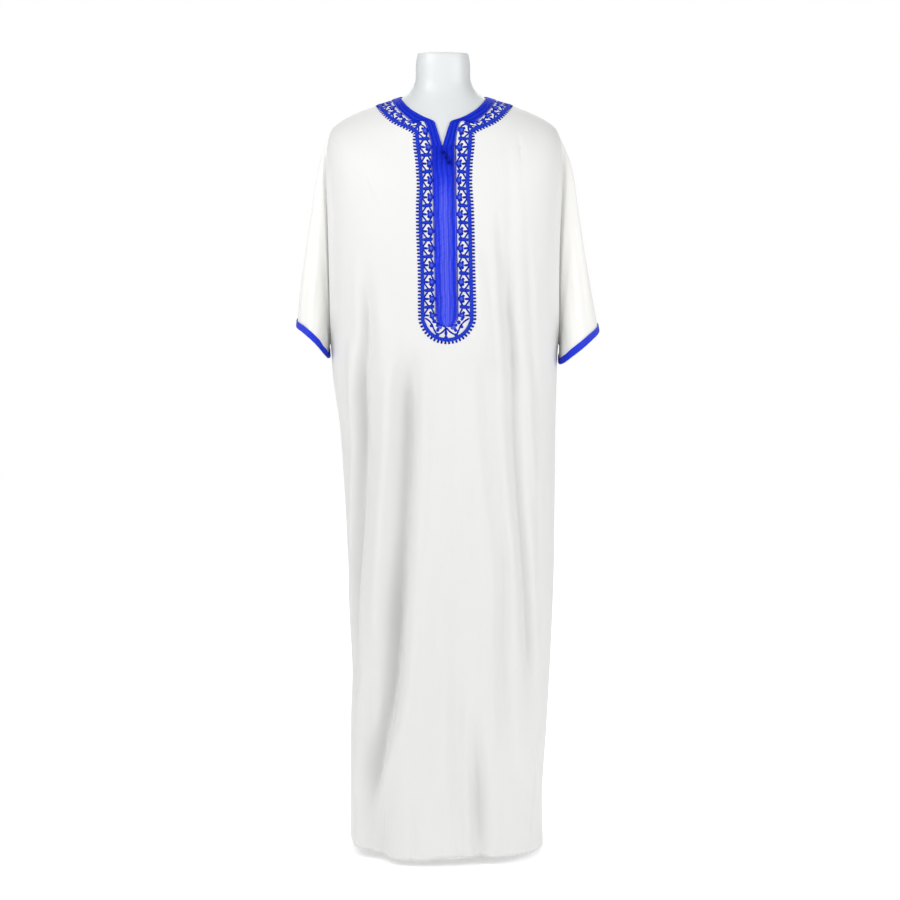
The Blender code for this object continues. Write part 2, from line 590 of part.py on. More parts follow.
def all_round(right_stops, left_stops):
    """One route from stops on the left, past the back, to those on the right (back stops first)."""
    right = [(angle - 360.0, drop) for angle, drop in right_stops]
    return left_stops[::-1] + right[1:]


def collar_route(width, right_front, left_front):
    """A route at one distance inside the collar's outer edge, joined to stops on the front."""
    right = [(stop.angle, stop.drop - width) for stop in COLLAR_STOPS]
    left = [(-angle, drop) for angle, drop in right]
    return all_round(right + right_front, left + left_front)


def make_neck_braid():
    routes = []
    for width, left, right in (
        (NECK_BRAID_INSET, "left_edge", "right_edge"),
        (NECK_BRAID_WIDTH, "left_braid", "right_braid"),
    ):
        right_slit = [on_front(getattr(stop, right), stop.height) for stop in SLIT_STOPS]
        left_slit = [on_front(getattr(stop, left), stop.height) for stop in SLIT_STOPS]
        right_stops = [(angle, width) for angle in NECK_BRAID_ANGLES] + right_slit
        left_stops = [(-angle, width) for angle in NECK_BRAID_ANGLES] + left_slit
        routes.append(all_round(right_stops, left_stops))
    trim_on_robe("neck_braid", *routes, NECK_BRAID_ROWS, BLUE_SATIN, cells=2)


def between_rows(top, foot, share):
    """(height, centre, half width) at a share of the way down between two rows."""
    return [a + (b - a) * share for a, b in zip(top, foot)]


def bib_stops(side, inset):
    """Stops down one side of the bib and round to the middle of its foot."""
    stops = []
    for row in BIB_ROWS:
        stops.append(on_front(row.centre + side * (row.half_width - inset), row.height))
    for turn in BIB_FOOT_TURNS:
        reach = BIB_FOOT.half_width - inset
        x = BIB_FOOT.centre + side * reach * math.cos(math.radians(turn))
        stops.append(on_front(x, BIB_FOOT.height - reach * math.sin(math.radians(turn))))
    return stops


def make_bib_band():
    """The band starts and ends at the middle of the bib's foot, a hair's gap between its ends."""
    foot_height = BIB_FOOT.height - BIB_FOOT.half_width
    routes = []
    for width, corner_in, corner_rise in (
        (BIB_BAND_WIDTH, BIB_CORNER_INNER_IN, BIB_CORNER_RISE + BIB_CORNER_INNER_RISE),
        (0.0, 0.0, BIB_CORNER_RISE),
    ):
        sides = []
        for side in (1, -1):
            corner_reach = BIB_TOP.half_width + BIB_CORNER_OUT - corner_in
            corner_x = BIB_TOP.centre + side * corner_reach
            corner = on_front(corner_x, BIB_TOP.height + corner_rise)
            foot = bib_stops(side, width)
            foot[-1] = on_front(BIB_FOOT.centre + side * SEAM_GAP, foot_height + width)
            sides.append([corner] + foot)
        routes.append(collar_route(width, *sides))
    trim_on_robe("bib_band", *routes, BIB_BAND_ROWS, BLUE_SATIN)


def make_placket():
    """The ribbed strip below the slit, with a rounded foot."""
    sides = []
    for side in (-1, 1):
        stops = []
        for share in PLACKET_SHARES:
            height, centre, half = between_rows(PLACKET_TOP, PLACKET_FOOT, share)
            stops.append(on_front(centre + side * half, height))
        for turn in PLACKET_FOOT_TURNS:
            narrowing = PLACKET_FOOT_NARROWING * (1.0 - math.cos(math.radians(turn)))
            x = PLACKET_FOOT.centre + side * (PLACKET_FOOT.half_width - narrowing)
            fall = PLACKET_FOOT_FALL * math.sin(math.radians(turn))
            stops.append(on_front(x, PLACKET_FOOT.height - fall))
        sides.append(stops)
    ribs = dict(cells=2 * PLACKET_RIBS, rib_height=PLACKET_RIB_HEIGHT)
    trim_on_robe("placket", *sides, PLACKET_ROWS, BLUE_SATIN, **ribs)


def make_knots():
    """Small round knots of cord that close the foot of the slit, resting on the placket."""
    lift = TRIM_GAP + TRIM_THICKNESS + PLACKET_RIB_HEIGHT + SEAT_GAP + KNOT_RADIUS
    for number, (x, height) in enumerate(KNOTS, start=1):
        angle, drop = np.array(on_front(x, height))
        centre = robe(angle, drop) + outward(robe, angle, drop) * lift
        bm = bmesh.new()
        bmesh.ops.create_icosphere(bm, subdivisions=2, radius=KNOT_RADIUS)
        bmesh.ops.translate(bm, verts=bm.verts, vec=centre)
        new_object(f"knot_button_{number}", bm, DARK_BLUE_CORD)


# ---------------------------------------------------------------- dress form


def form_ring(ring, angle, centre_x):
    sizes = (ring.half_width, ring.half_width, ring.front, ring.back)
    heights = (ring.side_height, ring.front_height, ring.back_height)
    return ring_point(angle, *sizes, heights, FORM_SQUARENESS) + np.array([centre_x, 0.0, 0.0])


def make_torso():
    """Neck, shoulders that fill the robe's yoke, and a plain body that ends at the hips."""
    angle = np.linspace(0.0, 360.0, FORM_COLUMNS + 1)
    rings = [form_ring(ring, angle, NECK_LEAN) for ring in NECK_RINGS]
    for drop in YOKE_ROWS:
        inside = outward(plain_cloth, angle, drop) * (WALL + FORM_GAP)
        rings.append(plain_cloth(angle, drop) - inside)
    rings += [form_ring(ring, angle, 0.0) for ring in TORSO_RINGS]
    points = np.stack(rings)
    points[:, -1] = points[:, 0]
    new_object("form_torso", capped_tube(points), WHITE_GLOSS)


def turned(name, profile, steps, colour, metallic):
    """A round solid from (radius, height) pairs, from its foot to its top."""
    turns = np.linspace(0.0, 2.0 * math.pi, steps + 1)
    points = np.array([[(r * math.cos(t), r * math.sin(t), h) for t in turns] for r, h in profile])
    points[:, -1] = points[:, 0]
    made = new_object(name, capped_tube(points), colour, metallic)
    made.data.set_sharp_from_angle(angle=math.radians(40.0))


def make_stand():
    edge = BASE_THICKNESS / 4.0
    turned("form_base", [
        (BASE_RADIUS - edge, 0.0),
        (BASE_RADIUS, edge),
        (BASE_RADIUS, BASE_THICKNESS - edge),
        (BASE_RADIUS - edge, BASE_THICKNESS),
    ], 48, WHITE_STEEL, 0.3)
    foot = BASE_THICKNESS + SEAT_GAP
    turned("form_pole", [
        (SOCKET_RADIUS, foot),
        (SOCKET_RADIUS, foot + SOCKET_HEIGHT - edge),
        (SOCKET_RADIUS - edge, foot + SOCKET_HEIGHT),
        (POLE_RADIUS, foot + SOCKET_HEIGHT),
        (POLE_RADIUS, TORSO_RINGS[-1].side_height - SEAT_GAP),
    ], 20, WHITE_STEEL, 0.3)


def clear_scene():
    for old in list(bpy.data.objects):
        bpy.data.objects.remove(old)


def main():
    clear_scene()
    make_front()
    make_back()
    for sleeve in SLEEVES:
        make_sleeve(sleeve)
        make_cuff_braid(sleeve)
    make_neck_braid()
    make_placket()
    make_bib_band()
    make_knots()
    make_torso()
    make_stand()


main()
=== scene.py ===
"""The looks of a white gandoura robe with blue embroidery on a dress form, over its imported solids.

Metres, +Z up, the robe's front faces -Y. A point of the cloth has two coordinates: its angle round
the body (degrees: 0 front centre, 90 the +X side, 180 back centre) and its drop (metres down the
cloth from the neckline). Braid and embroidery lie in lanes on the cloth, between two routes.
"""

import math
from collections import namedtuple

import bmesh
import bpy
import numpy as np
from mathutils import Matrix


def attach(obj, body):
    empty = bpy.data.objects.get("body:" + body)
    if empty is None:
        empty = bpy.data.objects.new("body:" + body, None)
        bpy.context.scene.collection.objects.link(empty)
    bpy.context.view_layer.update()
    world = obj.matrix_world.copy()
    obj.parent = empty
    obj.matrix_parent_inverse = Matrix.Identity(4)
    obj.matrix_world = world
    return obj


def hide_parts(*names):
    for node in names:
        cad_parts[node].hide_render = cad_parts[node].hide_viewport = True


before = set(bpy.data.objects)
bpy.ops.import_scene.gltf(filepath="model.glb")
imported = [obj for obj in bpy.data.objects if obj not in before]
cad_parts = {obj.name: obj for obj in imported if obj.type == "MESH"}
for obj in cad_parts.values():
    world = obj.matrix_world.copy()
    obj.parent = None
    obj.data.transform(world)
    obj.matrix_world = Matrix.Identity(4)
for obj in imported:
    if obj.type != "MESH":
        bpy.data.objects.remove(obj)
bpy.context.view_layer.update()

# ================================================================ sizes, as in the solids

WALL = 0.0012
SLEEVE_SEAM_GAP = 0.0009
TRIM_GAP = 0.0006
HEM_HEIGHT = 0.016
SIDE_ANGLE = 90.0

Ring = namedtuple(
    "Ring",
    "name drop left right front back side_height front_height back_height squareness",
)
RINGS = (
    Ring("neckline", 0.0, 0.08, 0.077, 0.088, 0.062, 1.441, 1.403, 1.437, 0.04),
    Ring("collar_edge", 0.05, 0.127, 0.127, 0.104, 0.098, 1.426, 1.355, 1.405, 0.04),
    Ring("yoke", 0.085, 0.162, 0.16, 0.113, 0.107, 1.413, 1.323, 1.376, 0.042),
    Ring("shoulder", 0.115, 0.189, 0.188, 0.12, 0.112, 1.399, 1.295, 1.35, 0.045),
    Ring("shoulder_tip", 0.138, 0.207, 0.206, 0.124, 0.115, 1.385, 1.272, 1.325, 0.048),
    Ring("upper_arm", 0.165, 0.216, 0.216, 0.127, 0.117, 1.362, 1.245, 1.298, 0.05),
    Ring("chest", 0.2, 0.218, 0.218, 0.129, 0.118, 1.33, 1.215, 1.262, 0.05),
    Ring("bust", 0.27, 0.217, 0.217, 0.131, 0.119, 1.262, 1.15, 1.19, 0.05),
    Ring("ribs", 0.36, 0.216, 0.215, 0.132, 0.119, 1.172, 1.085, 1.105, 0.05),
    Ring("waist", 0.5, 0.212, 0.213, 0.133, 0.119, 1.032, 0.992, 0.996, 0.05),
    Ring("underarm", 0.6, 0.211, 0.212, 0.134, 0.119, 0.932, 0.923, 0.923, 0.05),
    Ring("hip", 0.7, 0.198, 0.21, 0.135, 0.12, 0.83, 0.83, 0.83, 0.05),
    Ring("thigh", 0.83, 0.19, 0.21, 0.136, 0.121, 0.7, 0.7, 0.7, 0.048),
    Ring("knee", 1.0, 0.183, 0.209, 0.138, 0.123, 0.53, 0.53, 0.53, 0.048),
    Ring("calf", 1.15, 0.177, 0.204, 0.139, 0.126, 0.38, 0.38, 0.38, 0.048),
    Ring("shin", 1.3, 0.182, 0.197, 0.14, 0.13, 0.23, 0.23, 0.23, 0.046),
    Ring("ankle", 1.43, 0.183, 0.19, 0.141, 0.133, 0.1, 0.1, 0.1, 0.044),
    Ring("hem", 1.514, 0.184, 0.192, 0.142, 0.135, HEM_HEIGHT, HEM_HEIGHT, HEM_HEIGHT, 0.042),
)
HEM_DROP = RINGS[-1].drop
# (angle, fall): how far the hem falls below its height round the robe.
HEM_STOPS = (
    (-180.0, 0.0), (-110.0, 0.0), (-75.0, -0.008), (-55.0, -0.003), (-38.0, 0.001), (-16.0, 0.003),
    (6.0, -0.004), (28.0, -0.001), (50.0, 0.001), (75.0, 0.007), (110.0, 0.002), (180.0, 0.0),
)
HEM_FALL_DROP = 1.34

SLIT_ANGLE = -2.0
SLIT_HALF_ANGLE = 12.3
SLIT_DEPTH = 0.046
SLIT_SHARPNESS = 1.6
SLIT_BLEND_DROP = 0.115

ARMHOLE_TOP = 0.138
ARMHOLE_FOOT = 0.548
ARMHOLE_MIDDLE = (ARMHOLE_TOP + ARMHOLE_FOOT) / 2.0
ARMHOLE_HALF_ANGLE = 15.0
ROLL_HEIGHT = 0.006
ROLL_FROM_EDGE = 0.013
ROLL_WIDTH = 0.011
ROLL_TOP = 0.155
ROLL_FOOT = 0.585
ROLL_FADE = 0.110

# Folds: x at five even heights from top to foot; depth goes in, a ridge has a negative depth;
# left and right are the widths of the two flanks, fade the length of each soft end.
Fold = namedtuple("Fold", "face name top foot x1 x2 x3 x4 x5 depth left right fade")


def folds(face, *rows):
    return [Fold(face, *row) for row in rows]


FRONT_FOLDS = folds(
    "front",
    ("left_edge", 1.17, 0.28, -0.143, -0.146, -0.154, -0.167, -0.17, 0.014, 0.012, 0.013, 0.18),
    ("left_main", 1.01, 0.05, -0.056, -0.068, -0.085, -0.109, -0.168, 0.026, 0.021, 0.014, 0.2),
    ("left_crest", 1.08, 0.3, -0.1, -0.106, -0.118, -0.13, -0.138, -0.006, 0.018, 0.018, 0.2),
    ("right_main", 1.31, 0.28, 0.101, 0.122, 0.131, 0.151, 0.163, 0.013, 0.011, 0.011, 0.16),
    ("right_crest", 1.25, 0.9, 0.08, 0.089, 0.096, 0.103, 0.108, -0.005, 0.013, 0.013, 0.12),
    ("right_soft", 1.03, 0.14, 0.073, 0.082, 0.108, 0.11, 0.132, 0.008, 0.012, 0.012, 0.16),
    ("crest", 0.62, 0.0, -0.006, -0.008, -0.008, -0.01, -0.012, -0.005, 0.022, 0.022, 0.2),
    ("hem_cone", 0.32, -0.1, 0.058, 0.061, 0.066, 0.069, 0.072, 0.013, 0.017, 0.017, 0.2),
    ("hem_left", 0.45, -0.08, 0.024, 0.026, 0.027, 0.028, 0.028, 0.006, 0.012, 0.012, 0.16),
    ("hem_corner", 0.17, -0.1, -0.118, -0.122, -0.124, -0.124, -0.124, 0.006, 0.012, 0.012, 0.1),
)
BACK_FOLDS = folds(
    "back",
    ("middle", 1.3, -0.1, 0.004, -0.002, -0.006, 0.002, 0.01, -0.009, 0.026, 0.026, 0.3),
    ("back_left", 1.18, -0.1, -0.052, -0.066, -0.074, -0.092, -0.1, 0.019, 0.017, 0.02, 0.25),
    ("back_right", 1.12, 0.06, 0.062, 0.07, 0.086, 0.082, 0.07, 0.018, 0.019, 0.015, 0.22),
    ("far_left", 1.26, 0.12, -0.128, -0.138, -0.142, -0.146, -0.15, 0.012, 0.013, 0.013, 0.2),
    ("far_right", 1.22, -0.08, 0.12, 0.132, 0.144, 0.146, 0.138, 0.014, 0.014, 0.014, 0.2),
    ("back_hem", 0.52, -0.1, 0.03, 0.028, 0.024, 0.02, 0.018, 0.008, 0.013, 0.013, 0.18),
)
# Creases that the solids leave out, from fine lines to the deeper cores of folds: the same columns.
FRONT_CREASES = folds(
    "front",
    ("shoulder_crease", 1.385, 1.315, 0.134, 0.136, 0.138, 0.141, 0.143, 0.0024, 0.004, 0.006, 0.03),
    ("shoulder_pull", 1.37, 1.2, 0.112, 0.116, 0.121, 0.127, 0.134, 0.0016, 0.006, 0.008, 0.06),
    ("chest_crease", 1.335, 1.24, -0.156, -0.149, -0.14, -0.131, -0.122, 0.0018, 0.006, 0.007, 0.04),
    ("left_hem_line", 0.16, -0.05, -0.06, -0.061, -0.062, -0.062, -0.062, 0.0025, 0.007, 0.007, 0.06),
    ("main_streak", 0.92, 0.24, -0.05, -0.062, -0.078, -0.095, -0.12, 0.0016, 0.005, 0.006, 0.12),
    ("main_streak_low", 0.62, 0.1, -0.074, -0.086, -0.1, -0.118, -0.14, 0.002, 0.005, 0.006, 0.12),
    ("centre_line", 0.95, 0.3, 0.02, 0.022, 0.024, 0.022, 0.02, 0.0012, 0.006, 0.008, 0.16),
    ("right_line", 1.2, 0.55, 0.15, 0.16, 0.168, 0.174, 0.178, 0.0022, 0.006, 0.007, 0.14),
    ("right_low_line", 0.3, 0.02, 0.182, 0.178, 0.172, 0.166, 0.16, 0.0026, 0.006, 0.006, 0.06),
    ("left_ridge", 1.0, 0.42, -0.088, -0.101, -0.114, -0.123, -0.13, -0.006, 0.019, 0.012, 0.14),
    ("outer_ridge", 1.04, 0.8, -0.174, -0.173, -0.172, -0.172, -0.172, -0.004, 0.01, 0.009, 0.08),
    ("edge_core", 1.02, 0.34, -0.147, -0.154, -0.163, -0.17, -0.171, 0.0115, 0.01, 0.008, 0.14),
    ("main_wide", 0.68, 0.16, -0.077, -0.09, -0.106, -0.12, -0.128, 0.016, 0.042, 0.026, 0.24),
    ("low_trough", 0.44, -0.12, -0.134, -0.143, -0.145, -0.142, -0.14, 0.022, 0.022, 0.036, 0.22),
    ("right_shift", 1.27, 1.0, 0.095, 0.1, 0.105, 0.11, 0.117, 0.0045, 0.008, 0.008, 0.09),
    ("right_fill", 1.27, 0.98, 0.111, 0.117, 0.122, 0.127, 0.131, -0.0055, 0.009, 0.01, 0.1),
    ("right_ridge", 1.22, 0.92, 0.07, 0.077, 0.086, 0.093, 0.101, -0.004, 0.009, 0.008, 0.08),
    ("right_low_ridge", 0.98, 0.68, 0.156, 0.157, 0.161, 0.168, 0.176, -0.004, 0.01, 0.01, 0.08),
    ("cone_core", 0.4, -0.06, 0.052, 0.056, 0.062, 0.066, 0.069, 0.007, 0.011, 0.01, 0.18),
    ("middle_streak", 0.76, 0.04, 0.013, 0.015, 0.017, 0.019, 0.02, 0.0016, 0.009, 0.013, 0.14),
    ("soft_streak", 0.86, 0.5, 0.052, 0.057, 0.061, 0.064, 0.066, 0.0012, 0.007, 0.008, 0.1),
    ("right_streak", 0.7, 0.16, 0.112, 0.11, 0.106, 0.106, 0.11, 0.0018, 0.008, 0.009, 0.12),
)
BACK_CREASES = folds(
    "back",
    ("back_line", 1.05, 0.2, -0.02, -0.026, -0.03, -0.028, -0.034, 0.002, 0.007, 0.008, 0.16),
    ("back_right_line", 0.98, 0.1, 0.104, 0.11, 0.112, 0.108, 0.102, 0.0022, 0.007, 0.007, 0.16),
    ("back_left_line", 1.3, 0.7, -0.1, -0.11, -0.116, -0.12, -0.124, 0.002, 0.006, 0.007, 0.14),
)
LIP_SHARE = 0.22
LIP_DISTANCE = 1.9

Sleeve = namedtuple(
    "Sleeve",
    "name side outer_x outer_z inner_x inner_z front_rise swell_top swell_upper swell_lower swell_foot",
)
SLEEVES = (
    Sleeve("left", -1, 0.276, 1.019, 0.2165, 0.958, 0.011, 0.009, 0.0095, 0.009, 0.005),
    Sleeve("right", 1, 0.289, 1.01, 0.2165, 0.947, 0.002, 0.0105, 0.0085, 0.005, 0.0015),
)
SWELL_REACHES = (0.0, 0.12, 0.35, 0.60, 0.85, 1.0)
CUFF_FRONT_DEPTH = 0.075
CUFF_BACK_DEPTH = 0.070
UNDERARM_SWELL = 0.25
SLEEVE_PLEATS = 5
SLEEVE_PLEAT_HEIGHT = 0.0022

# ---- trims ----
NECK_BRAID_WIDTH = 0.018
NECK_BRAID_INSET = 0.0003
NECK_BRAID_ANGLES = (180.0, 150.0, 120.0, 90.0, 65.0, 45.0, 30.0)
SlitStop = namedtuple("SlitStop", "height left_edge left_braid right_edge right_braid")
SLIT_STOPS = (
    SlitStop(1.4015, -0.0205, -0.04, 0.015, 0.033),
    SlitStop(1.392, -0.015, -0.033, 0.0085, 0.0262),
    SlitStop(1.378, -0.0105, -0.0285, 0.0036, 0.0228),
    SlitStop(1.366, -0.0067, -0.0255, -0.0003, 0.0215),
    SlitStop(1.356, -0.004, -0.0232, -0.003, 0.0208),
)
BibRow = namedtuple("BibRow", "height centre half_width")
BIB_ROWS = (
    BibRow(1.372, -0.0008, 0.0531),
    BibRow(1.335, -0.0003, 0.0496),
    BibRow(1.305, 0.0001, 0.0475),
    BibRow(1.28, 0.0007, 0.0472),
    BibRow(1.25, 0.0012, 0.049),
    BibRow(1.2, 0.0022, 0.0497),
    BibRow(1.13, 0.0043, 0.0491),
    BibRow(1.0515, 0.0054, 0.0498),
)
BIB_TOP, BIB_FOOT = BIB_ROWS[0], BIB_ROWS[-1]
BIB_BAND_WIDTH = 0.007
BIB_FOOT_TURNS = (18.0, 36.0, 54.0, 72.0, 90.0)
BIB_CORNER_OUT = 0.0035
BIB_CORNER_RISE = 0.0080
BIB_CORNER_INNER_IN = 0.0056
BIB_CORNER_INNER_RISE = 0.0056
PLACKET_TOP = BibRow(1.354, -0.0008, 0.0208)
PLACKET_FOOT = BibRow(1.052, 0.0052, 0.02)
PLACKET_SHARES = (-0.0150, 0.25, 0.50, 0.75, 0.92, 0.97, 1.0)
PLACKET_FOOT_TURNS = (25.0, 50.0, 68.0, 82.0)
PLACKET_FOOT_NARROWING = 0.0190
PLACKET_FOOT_FALL = 0.0212
# (angle, drop) of the collar's outer edge, from the middle of the back.
COLLAR_STOPS = (
    (180.0, 0.049), (150.0, 0.049), (120.0, 0.049), (90.0, 0.0485), (67.0, 0.0465), (49.0, 0.043),
    (36.0, 0.0375),
)
CUFF_BRAID_WIDTH = 0.012
CUFF_BRAID_EXTRA = 0.003
# (x, height) of each knot.
KNOTS = ((-0.0015, 1.3435), (0.0042, 1.3345), (0.0098, 1.3255))
KNOT_RADIUS = 0.004
PLACKET_THICKNESS = 0.0014

# ---- dress form ----
NECK_LEAN = -0.0025
FORM_GAP = 0.0005
FORM_SQUARENESS = 0.03
# Rows of the shoulders under the cloth, as drops down the robe.
YOKE_DROPS = (0.0, 0.018, 0.034, 0.050, 0.078, 0.108)
FormRing = namedtuple(
    "FormRing", "name half_width front back side_height front_height back_height"
)
NECK_RINGS = (
    FormRing("cap", 0.04, 0.04, 0.044, 1.5246, 1.5246, 1.5246),
    FormRing("cap_edge", 0.0462, 0.0455, 0.0505, 1.5225, 1.5225, 1.5225),
    FormRing("rim", 0.0475, 0.047, 0.052, 1.517, 1.517, 1.517),
    FormRing("neck_top", 0.05, 0.049, 0.0545, 1.505, 1.505, 1.505),
    FormRing("neck_foot", 0.0502, 0.051, 0.0555, 1.474, 1.47, 1.476),
    FormRing("neck_flare", 0.0545, 0.057, 0.057, 1.462, 1.452, 1.464),
    FormRing("neck_root", 0.062, 0.066, 0.0575, 1.4515, 1.435, 1.453),
    FormRing("throat", 0.0705, 0.0765, 0.059, 1.4455, 1.418, 1.444),
)
TORSO_RINGS = (
    FormRing("shoulder_cap", 0.195, 0.115, 0.108, 1.38, 1.272, 1.325),
    FormRing("shoulder_end", 0.197, 0.113, 0.106, 1.358, 1.25, 1.3),
    FormRing("arm_plate", 0.188, 0.108, 0.1, 1.3, 1.21, 1.24),
    FormRing("chest", 0.172, 0.101, 0.093, 1.22, 1.16, 1.17),
    FormRing("ribs", 0.16, 0.092, 0.084, 1.13, 1.1, 1.1),
    FormRing("waist", 0.15, 0.085, 0.078, 1.01, 1.01, 1.01),
    FormRing("hips", 0.158, 0.088, 0.086, 0.9, 0.9, 0.9),
    FormRing("seat", 0.156, 0.086, 0.084, 0.8, 0.8, 0.8),
    FormRing("foot_edge", 0.15, 0.081, 0.079, 0.782, 0.782, 0.782),
)

# ================================================================ the cloth's surface

LOCATE_ROUNDS = 40
LOCATE_DAMPING = 0.7
LEAST_X_SLOPE = 0.0002
LEAST_Z_SLOPE = 0.3
MOST_LEAN = 88.0


def smooth(at, knots, values):
    """A smooth curve through (knots, values), read at `at` and held level past its ends."""
    knots = np.asarray(knots, float)
    values = np.asarray(values, float)
    slopes = np.gradient(values, knots)
    span = np.clip(np.searchsorted(knots, at) - 1, 0, len(knots) - 2)
    width = knots[span + 1] - knots[span]
    t = np.clip((at - knots[span]) / width, 0.0, 1.0)
    rise = t * t * (3.0 - 2.0 * t)
    start_pull = t * (1.0 - t) ** 2
    end_pull = t * t * (t - 1.0)
    level = values[span] + rise * (values[span + 1] - values[span])
    return level + width * (start_pull * slopes[span] + end_pull * slopes[span + 1])


def soft_step(value):
    value = np.clip(value, 0.0, 1.0)
    return value * value * (3.0 - 2.0 * value)


def along_rings(field, drop):
    return smooth(drop, [ring.drop for ring in RINGS], [getattr(ring, field) for ring in RINGS])


def ring_point(angle, left, right, front, back, heights, squareness):
    """The point at an angle of one ring. heights are those of its side, front and back."""
    turn = np.radians(angle)
    sine, cosine = np.sin(turn), np.cos(turn)
    half = np.where(sine >= 0.0, right, left)
    depth = np.where(cosine >= 0.0, -np.asarray(front), back)
    side_height, front_height, back_height = heights
    centre_height = np.where(cosine >= 0.0, front_height, back_height)
    x = half * (sine + squareness * np.sin(3.0 * turn)) / (1.0 - squareness)
    y = depth * np.abs(cosine - squareness * np.cos(3.0 * turn)) / (1.0 - squareness)
    z = side_height + (centre_height - side_height) * cosine**2
    return np.stack([x, y, z], axis=-1)


def hem_fall(angle):
    turn = (np.asarray(angle, float) + 180.0) % 360.0 - 180.0
    return smooth(turn, *zip(*HEM_STOPS))


def plain_cloth(angle, drop):
    """The cloth's outer face before any fold."""
    angle, drop = np.broadcast_arrays(np.asarray(angle, float), np.asarray(drop, float))
    sizes = [along_rings(field, drop) for field in ("left", "right", "front", "back")]
    heights = [along_rings(f"{part}_height", drop) for part in ("side", "front", "back")]
    place = ring_point(angle, *sizes, heights, along_rings("squareness", drop))
    place[..., 2] -= hem_fall(angle) * soft_step((drop - HEM_FALL_DROP) / (HEM_DROP - HEM_FALL_DROP))
    return place


def outward(surface, angle, drop):
    """The unit normal of a surface(angle, drop), pointing away from the body."""
    angle_step, drop_step = 0.25, 0.0008
    across = surface(angle + angle_step, drop) - surface(angle - angle_step, drop)
    down = surface(angle, drop + drop_step) - surface(angle, drop - drop_step)
    normal = np.cross(down, across)
    return normal / np.linalg.norm(normal, axis=-1, keepdims=True)


def locate(x, z, face="front"):
    """The (angle, drop) of the plain cloth that is seen at x, z from the front or the back."""
    x, z = np.broadcast_arrays(np.asarray(x, float), np.asarray(z, float))
    centre = 0.0 if face == "front" else 180.0
    way = 1.0 if face == "front" else -1.0
    widest = max(ring.right for ring in RINGS)
    lean = np.degrees(np.arcsin(np.clip(x / widest, -0.9, 0.9)))
    drop = np.clip(RINGS[0].side_height - z, 0.0, HEM_DROP)
    angle_step, drop_step = 0.01, 0.0001
    for _ in range(LOCATE_ROUNDS):
        at = plain_cloth(centre + way * lean, drop)
        side = plain_cloth(centre + way * (lean + angle_step), drop)
        below = plain_cloth(centre + way * lean, drop + drop_step)
        x_by_lean = np.maximum((side - at)[..., 0] / angle_step, LEAST_X_SLOPE)
        z_by_drop = np.minimum((below - at)[..., 2] / drop_step, -LEAST_Z_SLOPE)
        lean = lean + LOCATE_DAMPING * (x - at[..., 0]) / x_by_lean
        lean = np.clip(lean, -MOST_LEAN, MOST_LEAN)
        drop = np.clip(drop + LOCATE_DAMPING * (z - at[..., 2]) / z_by_drop, 0.0, HEM_DROP)
    return centre + way * lean, drop


def per_degree(angle, drop):
    """Metres of cloth for each degree round the ring."""
    return np.linalg.norm(plain_cloth(angle + 0.5, drop) - plain_cloth(angle - 0.5, drop), axis=-1)


def fold_route(fold):
    """The (drops, angles) that a fold runs through, from its top to its foot."""
    xs = np.array([fold.x1, fold.x2, fold.x3, fold.x4, fold.x5])
    heights = np.linspace(fold.top, fold.foot, len(xs))
    angles, drops = locate(xs, np.maximum(heights, HEM_HEIGHT), fold.face)
    drops = drops + np.maximum(HEM_HEIGHT - heights, 0.0)
    return drops, angles


ALL_FOLDS = FRONT_FOLDS + BACK_FOLDS + FRONT_CREASES + BACK_CREASES
FOLD_ROUTES = [fold_route(fold) for fold in ALL_FOLDS]
# Where each fold runs, and the metres of cloth for a degree there, at even drops.
TRACK_STEPS = 600
TRACK_DROPS = np.linspace(0.0, HEM_DROP, TRACK_STEPS)
FOLD_CENTRES = [smooth(TRACK_DROPS, drops, angles) for drops, angles in FOLD_ROUTES]
FOLD_SCALES = [per_degree(centre, TRACK_DROPS) for centre in FOLD_CENTRES]
SIDE_SCALE = per_degree(SIDE_ANGLE, TRACK_DROPS)


def fold_push(angle, drop):
    """How far the folds and creases move the cloth outwards."""
    push = np.zeros(np.broadcast(angle, drop).shape)
    for fold, (drops, _), track, scale in zip(ALL_FOLDS, FOLD_ROUTES, FOLD_CENTRES, FOLD_SCALES):
        centre = np.interp(drop, TRACK_DROPS, track)
        turn = (angle - centre + 180.0) % 360.0 - 180.0
        across = turn * np.interp(drop, TRACK_DROPS, scale)
        if fold.face == "back":
            across = -across
        width = np.where(across < 0.0, fold.left, fold.right)
        ends = soft_step((drop - drops[0]) / fold.fade) * soft_step((drops[-1] - drop) / fold.fade)
        trough = np.exp(-((across / width) ** 2))
        lips = np.exp(-((np.abs(across) / width - LIP_DISTANCE) ** 2))
        push -= fold.depth * ends * (trough - LIP_SHARE * lips)
    return push


def armhole_angle(drop):
    """How far the armhole reaches from the side, in degrees, at a drop."""
    share = (np.asarray(drop, float) - ARMHOLE_MIDDLE) / (ARMHOLE_FOOT - ARMHOLE_MIDDLE)
    return ARMHOLE_HALF_ANGLE * np.sqrt(np.maximum(1.0 - share**2, 0.0))


def roll_push(angle, drop):
    """The soft roll of cloth that stands beside each armhole and dies out at its ends."""
    from_centre = np.abs((angle + 180.0) % 360.0 - 180.0)
    from_centre = np.minimum(from_centre, 180.0 - from_centre)
    edge = SIDE_ANGLE - armhole_angle(drop)
    from_edge = (edge - from_centre) * np.interp(drop, TRACK_DROPS, SIDE_SCALE)
    length = soft_step((drop - ROLL_TOP) / ROLL_FADE) * soft_step((ROLL_FOOT - drop) / ROLL_FADE)
    return ROLL_HEIGHT * length * np.exp(-(((from_edge - ROLL_FROM_EDGE) / ROLL_WIDTH) ** 2))


